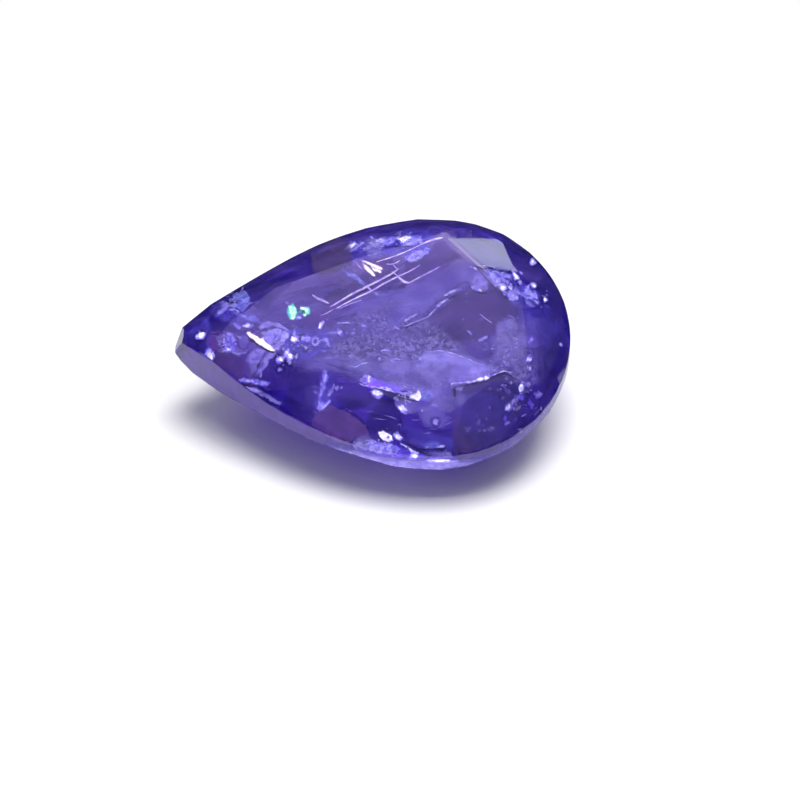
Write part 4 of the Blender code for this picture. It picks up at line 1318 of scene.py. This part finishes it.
def make_veils(settings):
    """Veils under the table: a bluish one low down, a lavender one above it and dark streams."""
    cover = settings.veil_cover
    glow = settings.veil_glow
    veil("veil_upper", UPPER_SPOTS, 0.95, 0.18, veil_material(
        "veil_blue", (0.31, 0.275, 0.63), (0.16, 0.13, 0.43), cover, glow, 1.0, 4.5, 0.38, 0.62))
    veil("veil_lower", LOWER_SPOTS, 0.55, 0.10, veil_material(
        "veil_lavender", (0.30, 0.26, 0.70), (0.13, 0.10, 0.44), cover, glow, 1.2, 6.0, 0.46, 0.62))
    veil("veil_streams", UPPER_SPOTS, 0.75, 0.12, veil_material(
        "veil_dark", (0.060, 0.040, 0.22), (0.03, 0.02, 0.16), cover, glow * 0.4, 1.0, 5.0, 0.52, 0.66))


def make_clouds(settings):
    """Cloudy zones all through the stone: closed shells inside it, with patchy cover and a painted glow."""
    middle = (CAD_LOW + CAD_HIGH) / 2
    for name, share, turn, cover in (("clouds_outer", 0.95, 20.0, settings.cloud_cover),
                                     ("clouds_inner", 0.80, 75.0, settings.cloud_cover * 0.8)):
        bm = solid_copy()
        for vertex in bm.verts:
            vertex.co = middle + (vertex.co - middle) * share
        material, tree, shader = plain_material(name)
        cloudy = masked(tree, CLOUDS, -900, 300, turn=(0.0, 0.0, math.radians(turn)), stretch=(0.7, 1.3, 1.3),
                        scale=0.9, detail=6.0, bend=0.6, low=0.34, high=0.70)
        tones = masked(tree, CLOUDS, -900, 0, scale=1.4, detail=4.0, low=0.35, high=0.65)
        colour = blend(tree, -500, 500, tones, settings.cloud_deep, settings.cloud_pale)
        colour_with_painted_glow(shader, colour, settings.cloud_glow, 0.7)
        feed(shader, Alpha=math_node(tree, "MULTIPLY", -500, 200, cloudy, cover))
        piece(name, bm, material)


# Streams of fine wisps: a line in pixels, how far the wisps stray from it, how many there are, their
# length, and depths
Stream = namedtuple("Stream", "points stray count length depths seed")
STREAMS = rows(Stream,
    (((290, 372), (330, 352), (370, 340), (410, 322), (455, 297), (478, 285)), 9, 46, (12, 34),
     (0.4, 0.9), 61),
    (((340, 332), (395, 316), (425, 296), (455, 272)), 10, 34, (10, 28), (0.5, 1.1), 62),
    (((362, 350), (400, 356), (440, 362), (480, 366), (508, 352), (520, 330)), 9, 50, (10, 30),
     (0.3, 0.7), 63),
    (((330, 374), (365, 371), (400, 381), (430, 390)), 6, 22, (8, 22), (0.2, 0.5), 64),
    (((350, 300), (400, 282), (440, 262)), 10, 26, (10, 26), (0.5, 1.2), 65),
    (((250, 345), (258, 360), (252, 376)), 9, 18, (6, 14), (0.2, 0.4), 66),
    (((252, 318), (285, 326), (318, 334), (345, 331)), 7, 26, (6, 18), (0.2, 0.5), 67),
    (((470, 325), (500, 322), (520, 335), (528, 360)), 12, 34, (6, 14), (0.4, 0.9), 68),
    (((345, 415), (380, 418), (420, 425), (455, 420)), 9, 22, (6, 18), (0.2, 0.5), 69),
    (((335, 445), (380, 450), (430, 455)), 3, 22, (6, 18), (0.05, 0.15), 70),
)


def make_wisps(settings):
    """Fine curved wisps along the streams."""
    bm = bmesh.new()
    for stream in STREAMS:
        rng = random.Random(stream.seed)
        line = [Vector(point) for point in smooth_line(stream.points, 12)]
        for _ in range(stream.count):
            reach = rng.uniform(*stream.length)
            begin = rng.randrange(0, len(line) - 3)
            side = rng.gauss(0.0, 0.5) * stream.stray
            depth = rng.uniform(*stream.depths)
            trail = []
            run = 0.0
            for here, there in zip(line[begin:], line[begin + 1:]):
                along = (there - here).normalized()
                off = Vector((-along.y, along.x)) * (side + math.sin(run / 5.0 + side) * 1.0)
                trail.append(here + off)
                run += (there - here).length
                if run > reach:
                    break
            if len(trail) < 3:
                continue
            thick = rng.uniform(0.010, 0.034) * MM
            last = len(trail) - 1
            widths = [thick * (0.15 + 0.85 * math.sin(math.pi * index / last)) for index in range(len(trail))]
            rod(bm, [under(spot.x, spot.y, depth) for spot in trail], widths, sides=4, flat=0.5)
    material, tree, shader = plain_material("wisp_lavender")
    mask = masked(tree, CLOUDS, -700, 200, scale=2.0, detail=4.0, low=0.35, high=0.65)
    tone = blend(tree, -400, 200, mask, (0.36, 0.33, 0.82), (0.66, 0.62, 0.98))
    colour_with_painted_glow(shader, tone, settings.painted_glint * 0.3, 0.5)
    feed(shader, Alpha=patchy_cover(tree, settings.wisp_cover, scale=1.6, low=0.35, high=0.7))
    piece("wisps", bm, material)


# Stage

def paper_material(colour):
    """Matt pale paper with the faintest tooth."""
    material, tree, shader = plain_material("paper")
    mask = masked(tree, CLOUDS, -700, 200, scale=0.8, detail=6.0, low=0.2, high=0.8)
    darker = tuple(channel * 0.985 for channel in colour)
    tone = blend(tree, -400, 200, mask, darker, colour)
    feed(shader, Base_Color=tone, Roughness=0.9, Specular_IOR_Level=0.1)
    return material


def toward(azimuth, elevation):
    """Unit vector to a place round the stone, azimuth 0 being the camera's side."""
    turn = math.radians(azimuth)
    rise = math.radians(elevation)
    return Vector((math.sin(turn) * math.cos(rise), -math.cos(turn) * math.cos(rise), math.sin(rise)))


def aimed(name, data, place, direction):
    """An object in the scene at a place, looking along a direction."""
    ob = link(bpy.data.objects.new(name, data))
    ob.location = place
    ob.rotation_mode = "QUATERNION"
    ob.rotation_quaternion = direction.to_track_quat("-Z", "Y")
    return ob


def lamp(name, place, direction, size, power, colour):
    """A soft square light at a place, facing back along a direction."""
    light = bpy.data.lights.new(name, "AREA")
    light.shape = "SQUARE"
    light.size = size
    light.energy = power
    light.color = colour
    return aimed(name, light, place, -direction)


# The main light, how far off it and the card lights are, and the paper's extent
KEY_DISTANCE = 300 * MM
KEY_COLOUR = (1.0, 0.99, 0.98)
CARD_DISTANCE = 250 * MM
CARD_COLOUR = (0.90, 1.0, 0.95)
PAPER_HALF = 26 * MM
PAPER_FAR = 11 * MM
PAPER_DROP = 0.02 * MM
# The facets that mirror card lights: a pixel of each, and two between which its light's edge shows
Card = namedtuple("Card", "facet edge")
CARDS = (
    Card((483, 252), ((462, 238), (488, 238))),
    Card((497, 266), ((489, 266.6), (511, 270.2))),
)


def make_card(settings, facet, edge):
    """A small light that one facet mirrors, turned so that its edge shows along a line."""
    entry, glance = mirrored(*facet)
    place = entry + glance * CARD_DISTANCE
    card = lamp("card", place, glance, settings.card_size, settings.card_power, CARD_COLOUR)
    starts = [mirrored(*pixel) for pixel in edge]
    first, last = [intersect_line_plane(start, start + way, place, glance) for start, way in starts]
    along = (last - first).normalized()
    inward = glance.cross(along)
    side = 1 if inward.dot(place - first) > 0 else -1
    card.location = (first + last) / 2 + inward * side * settings.card_size / 2
    card.rotation_quaternion = Matrix((along, inward, glance)).transposed().to_quaternion()


def make_world(settings):
    """A pale backdrop, and a room that is darker low down than above."""
    world = bpy.data.worlds.new("studio")
    bpy.context.scene.world = world
    world.use_nodes = True
    tree = world.node_tree
    place = new_node(tree, "ShaderNodeTexCoord", -900, 0)
    split = new_node(tree, "ShaderNodeSeparateXYZ", -700, 0, {"Vector": place.outputs["Generated"]})
    rise = new_node(tree, "ShaderNodeMapRange", -500, 0, {
        "Value": split.outputs["Z"], "From_Min": 0.45, "From_Max": 0.95,
        "To_Min": settings.room_low, "To_Max": settings.room_high}, interpolation_type="SMOOTHSTEP")
    room = tree.nodes["Background"]
    feed(room, Color=(0.96, 0.97, 1.0), Strength=rise.outputs["Result"])
    backdrop = new_node(tree, "ShaderNodeBackground", -200, -200, {"Color": (1.0, 1.0, 1.0)})
    seen = new_node(tree, "ShaderNodeLightPath", -200, 400)
    mixed = new_node(tree, "ShaderNodeMixShader", 100, 0, {"Fac": seen.outputs["Is Camera Ray"]})
    tree.links.new(room.outputs["Background"], mixed.inputs[1])
    tree.links.new(backdrop.outputs["Background"], mixed.inputs[2])
    feed(tree.nodes["World Output"], Surface=mixed.outputs["Shader"])


def make_camera():
    """The camera at the photo's view."""
    camera = bpy.data.cameras.new("camera")
    camera.sensor_width = SENSOR
    camera.lens = SENSOR * CAMERA_DISTANCE / (PHOTO_SIZE * px_size())
    camera.clip_start = MM
    camera.clip_end = 10.0
    bpy.context.scene.camera = aimed("camera", camera, camera_place(), camera_axes()[2])


def make_stage(settings):
    """Floor, lights, camera and the renderer's light paths."""
    bm = bmesh.new()
    near, far = -PAPER_HALF, PAPER_FAR
    corners = ((-PAPER_HALF, near), (PAPER_HALF, near), (PAPER_HALF, far), (-PAPER_HALF, far))
    bm.faces.new([bm.verts.new((x, y, 0.0)) for x, y in corners])
    floor = mesh_object("floor", bm, paper_material(settings.floor_colour))
    floor.location.z = -PAPER_DROP
    make_world(settings)
    overhead = toward(settings.key_azimuth, settings.key_elevation)
    lamp("key", overhead * KEY_DISTANCE, overhead, settings.key_size, settings.key_power, KEY_COLOUR)
    for card in CARDS:
        make_card(settings, card.facet, card.edge)
    make_camera()
    scene = bpy.context.scene
    scene.view_settings.view_transform = "Standard"
    scene.cycles.use_denoising = True
    scene.cycles.max_bounces = 20
    scene.cycles.transmission_bounces = 16
    scene.cycles.glossy_bounces = 8
    scene.cycles.diffuse_bounces = 3
    scene.cycles.transparent_max_bounces = 32


# Settings

def tint(name, description, default):
    """Setting: a colour."""
    return FloatVectorProperty(
        name=name, description=description, subtype="COLOR", size=3, min=0.0, max=1.0, default=default)


def part(name, description, default):
    """Setting: a share from 0 to 1."""
    return FloatProperty(
        name=name, description=description, subtype="FACTOR", min=0.0, max=1.0, default=default)


def amount(name, description, default, unit="NONE"):
    """Setting: a number from 0 up."""
    return FloatProperty(name=name, description=description, unit=unit, min=0.0, default=default)


class StoneSettings(bpy.types.PropertyGroup):
    """Sizes and colours of the cut stone."""

    crystal_colour: tint("Crystal colour", "Colour that light takes on inside the stone", (0.42, 0.17, 0.90))
    crystal_density: amount("Crystal density", "How strongly the crystal colours light, per metre", 440.0)
    mirror_tint: tint("Mirror tint", "Tint of what the facets mirror", (0.74, 0.64, 0.80))
    edge_width: amount("Edge width", "Width of the fine bevel along the edges", 0.018 * MM, "LENGTH")
    polish_wear: part("Polish wear", "Roughness where the polish is least good", 0.03)
    girdle_roughness: part("Girdle roughness", "Roughness added on the girdle", 0.16)


class InclusionSettings(bpy.types.PropertyGroup):
    """Colours and strengths of what shows inside the stone."""

    # Painted light: how strongly needles, cracks, grains, pinpoints, shards and wisps glow
    painted_glint: amount("Glint", "Light that the inclusions catch", 0.5)
    needle_colour: tint("Needle colour", "Colour of the needles", (0.90, 0.76, 0.98))
    crack_colour: tint("Crack colour", "Colour of the cracks' bright edges", (0.72, 0.70, 1.0))
    # Painted shade: colour and cover of the dark rods beside the cracks and along the far outline
    shadow_colour: tint("Shadow colour", "Colour of the cracks' dark edges", (0.012, 0.005, 0.10))
    shadow_cover: part("Shadow cover", "How solid the cracks' dark edges look", 0.65)
    # Painted light: glow of the films and flakes
    film_glow: amount("Film glow", "Light that the films and flakes catch", 1.0)
    grain_colour: tint("Grain colour", "Colour of the small crystals", (0.75, 0.70, 0.96))
    shard_colour: tint("Shard colour", "Colour of the crushed zones", (0.34, 0.30, 0.80))
    shard_cover: part("Shard cover", "How solid the shards look", 0.7)
    wisp_cover: part("Wisp cover", "How solid the wisps look", 0.7)
    cloud_pale: tint("Pale cloud", "Lighter tone of the cloudy zones", (0.26, 0.16, 0.82))
    cloud_deep: tint("Deep cloud", "Deeper tone of the cloudy zones", (0.13, 0.06, 0.58))
    cloud_cover: part("Cloud cover", "How solid the cloudy zones look", 0.35)
    # Painted light: glow of the cloudy zones, in place of the light they scatter
    cloud_glow: amount("Cloud glow", "Light that the cloudy zones scatter", 0.16)
    veil_cover: part("Veil cover", "How solid the veils look", 0.55)
    # Painted light: glow of the veils, in place of the light they scatter
    veil_glow: amount("Veil glow", "Light that the veils scatter", 0.45)


class StageSettings(bpy.types.PropertyGroup):
    """Floor and lights."""

    floor_colour: tint("Floor colour", "Colour of the paper", (0.86, 0.86, 0.87))
    room_low: amount("Room, low", "Brightness of the room at the floor", 0.03)
    room_high: amount("Room, high", "Brightness of the room overhead", 0.78)
    key_azimuth: amount("Key azimuth", "Degrees round from the camera's side", 95.0)
    key_elevation: amount("Key elevation", "Degrees above the floor", 82.0)
    key_size: amount("Key size", "Side of the main light", 190 * MM, "LENGTH")
    key_power: amount("Key power", "Power of the main light", 1.05, "POWER")
    card_size: amount("Card size", "Side of the lights that the bright facets mirror", 12 * MM, "LENGTH")
    card_power: amount("Card power", "Power of the lights that the bright facets mirror", 0.00122, "POWER")


# Operators and panel

class MakeStone(bpy.types.Operator):
    """Make the cut stone"""

    bl_idname = "tanzanite.stone"
    bl_label = "Cut stone"

    def execute(self, context):
        make_stone(context.scene.tanzanite_stone)
        return {"FINISHED"}


class MakeNeedles(bpy.types.Operator):
    """Make the needles and the cracks"""

    bl_idname = "tanzanite.needles"
    bl_label = "Needles and cracks"

    def execute(self, context):
        make_needles(context.scene.tanzanite_inclusions)
        make_cracks(context.scene.tanzanite_inclusions)
        make_crack_shadows(context.scene.tanzanite_inclusions)
        return {"FINISHED"}


class MakeFilms(bpy.types.Operator):
    """Make the films and flakes"""

    bl_idname = "tanzanite.films"
    bl_label = "Films and flakes"

    def execute(self, context):
        make_films(context.scene.tanzanite_inclusions)
        return {"FINISHED"}


class MakeGrains(bpy.types.Operator):
    """Make the small crystals and pinpoints"""

    bl_idname = "tanzanite.grains"
    bl_label = "Crystals and pinpoints"

    def execute(self, context):
        make_grains(context.scene.tanzanite_inclusions)
        make_dust(context.scene.tanzanite_inclusions)
        return {"FINISHED"}


class MakeShards(bpy.types.Operator):
    """Make the crushed zones"""

    bl_idname = "tanzanite.shards"
    bl_label = "Crushed zones"

    def execute(self, context):
        make_shards(context.scene.tanzanite_inclusions)
        return {"FINISHED"}


class MakeVeils(bpy.types.Operator):
    """Make the veils and wisps"""

    bl_idname = "tanzanite.veils"
    bl_label = "Veils and wisps"

    def execute(self, context):
        make_clouds(context.scene.tanzanite_inclusions)
        make_veils(context.scene.tanzanite_inclusions)
        make_wisps(context.scene.tanzanite_inclusions)
        return {"FINISHED"}


class MakeStage(bpy.types.Operator):
    """Make the floor, lights and camera"""

    bl_idname = "tanzanite.stage"
    bl_label = "Stage"

    def execute(self, context):
        make_stage(context.scene.tanzanite_stage)
        return {"FINISHED"}


class TanzanitePanel(bpy.types.Panel):
    """Pieces of the tanzanite, each with its button"""

    bl_idname = "VIEW3D_PT_tanzanite"
    bl_label = "Pear-cut tanzanite"
    bl_space_type = "VIEW_3D"
    bl_region_type = "UI"
    bl_category = "Tanzanite"

    def draw(self, context):
        layout = self.layout
        scene = context.scene
        for settings, operators in (
            (scene.tanzanite_stone, (MakeStone,)),
            (scene.tanzanite_inclusions, (MakeNeedles, MakeFilms, MakeGrains, MakeShards, MakeVeils)),
            (scene.tanzanite_stage, (MakeStage,)),
        ):
            box = layout.box()
            for name in settings.__annotations__:
                box.prop(settings, name)
            for operator in operators:
                box.operator(operator.bl_idname)


CLASSES = (
    StoneSettings, InclusionSettings, StageSettings,
    MakeStone, MakeNeedles, MakeFilms, MakeGrains, MakeShards, MakeVeils, MakeStage,
    TanzanitePanel,
)


def register():
    for item in CLASSES:
        bpy.utils.register_class(item)
    bpy.types.Scene.tanzanite_stone = PointerProperty(type=StoneSettings)
    bpy.types.Scene.tanzanite_inclusions = PointerProperty(type=InclusionSettings)
    bpy.types.Scene.tanzanite_stage = PointerProperty(type=StageSettings)


def unregister():
    del bpy.types.Scene.tanzanite_stage
    del bpy.types.Scene.tanzanite_inclusions
    del bpy.types.Scene.tanzanite_stone
    for item in reversed(CLASSES):
        bpy.utils.unregister_class(item)


def main():
    register()
    bpy.ops.tanzanite.stone()
    bpy.ops.tanzanite.needles()
    bpy.ops.tanzanite.films()
    bpy.ops.tanzanite.grains()
    bpy.ops.tanzanite.shards()
    bpy.ops.tanzanite.veils()
    bpy.ops.tanzanite.stage()


if __name__ == "__main__":
    main()
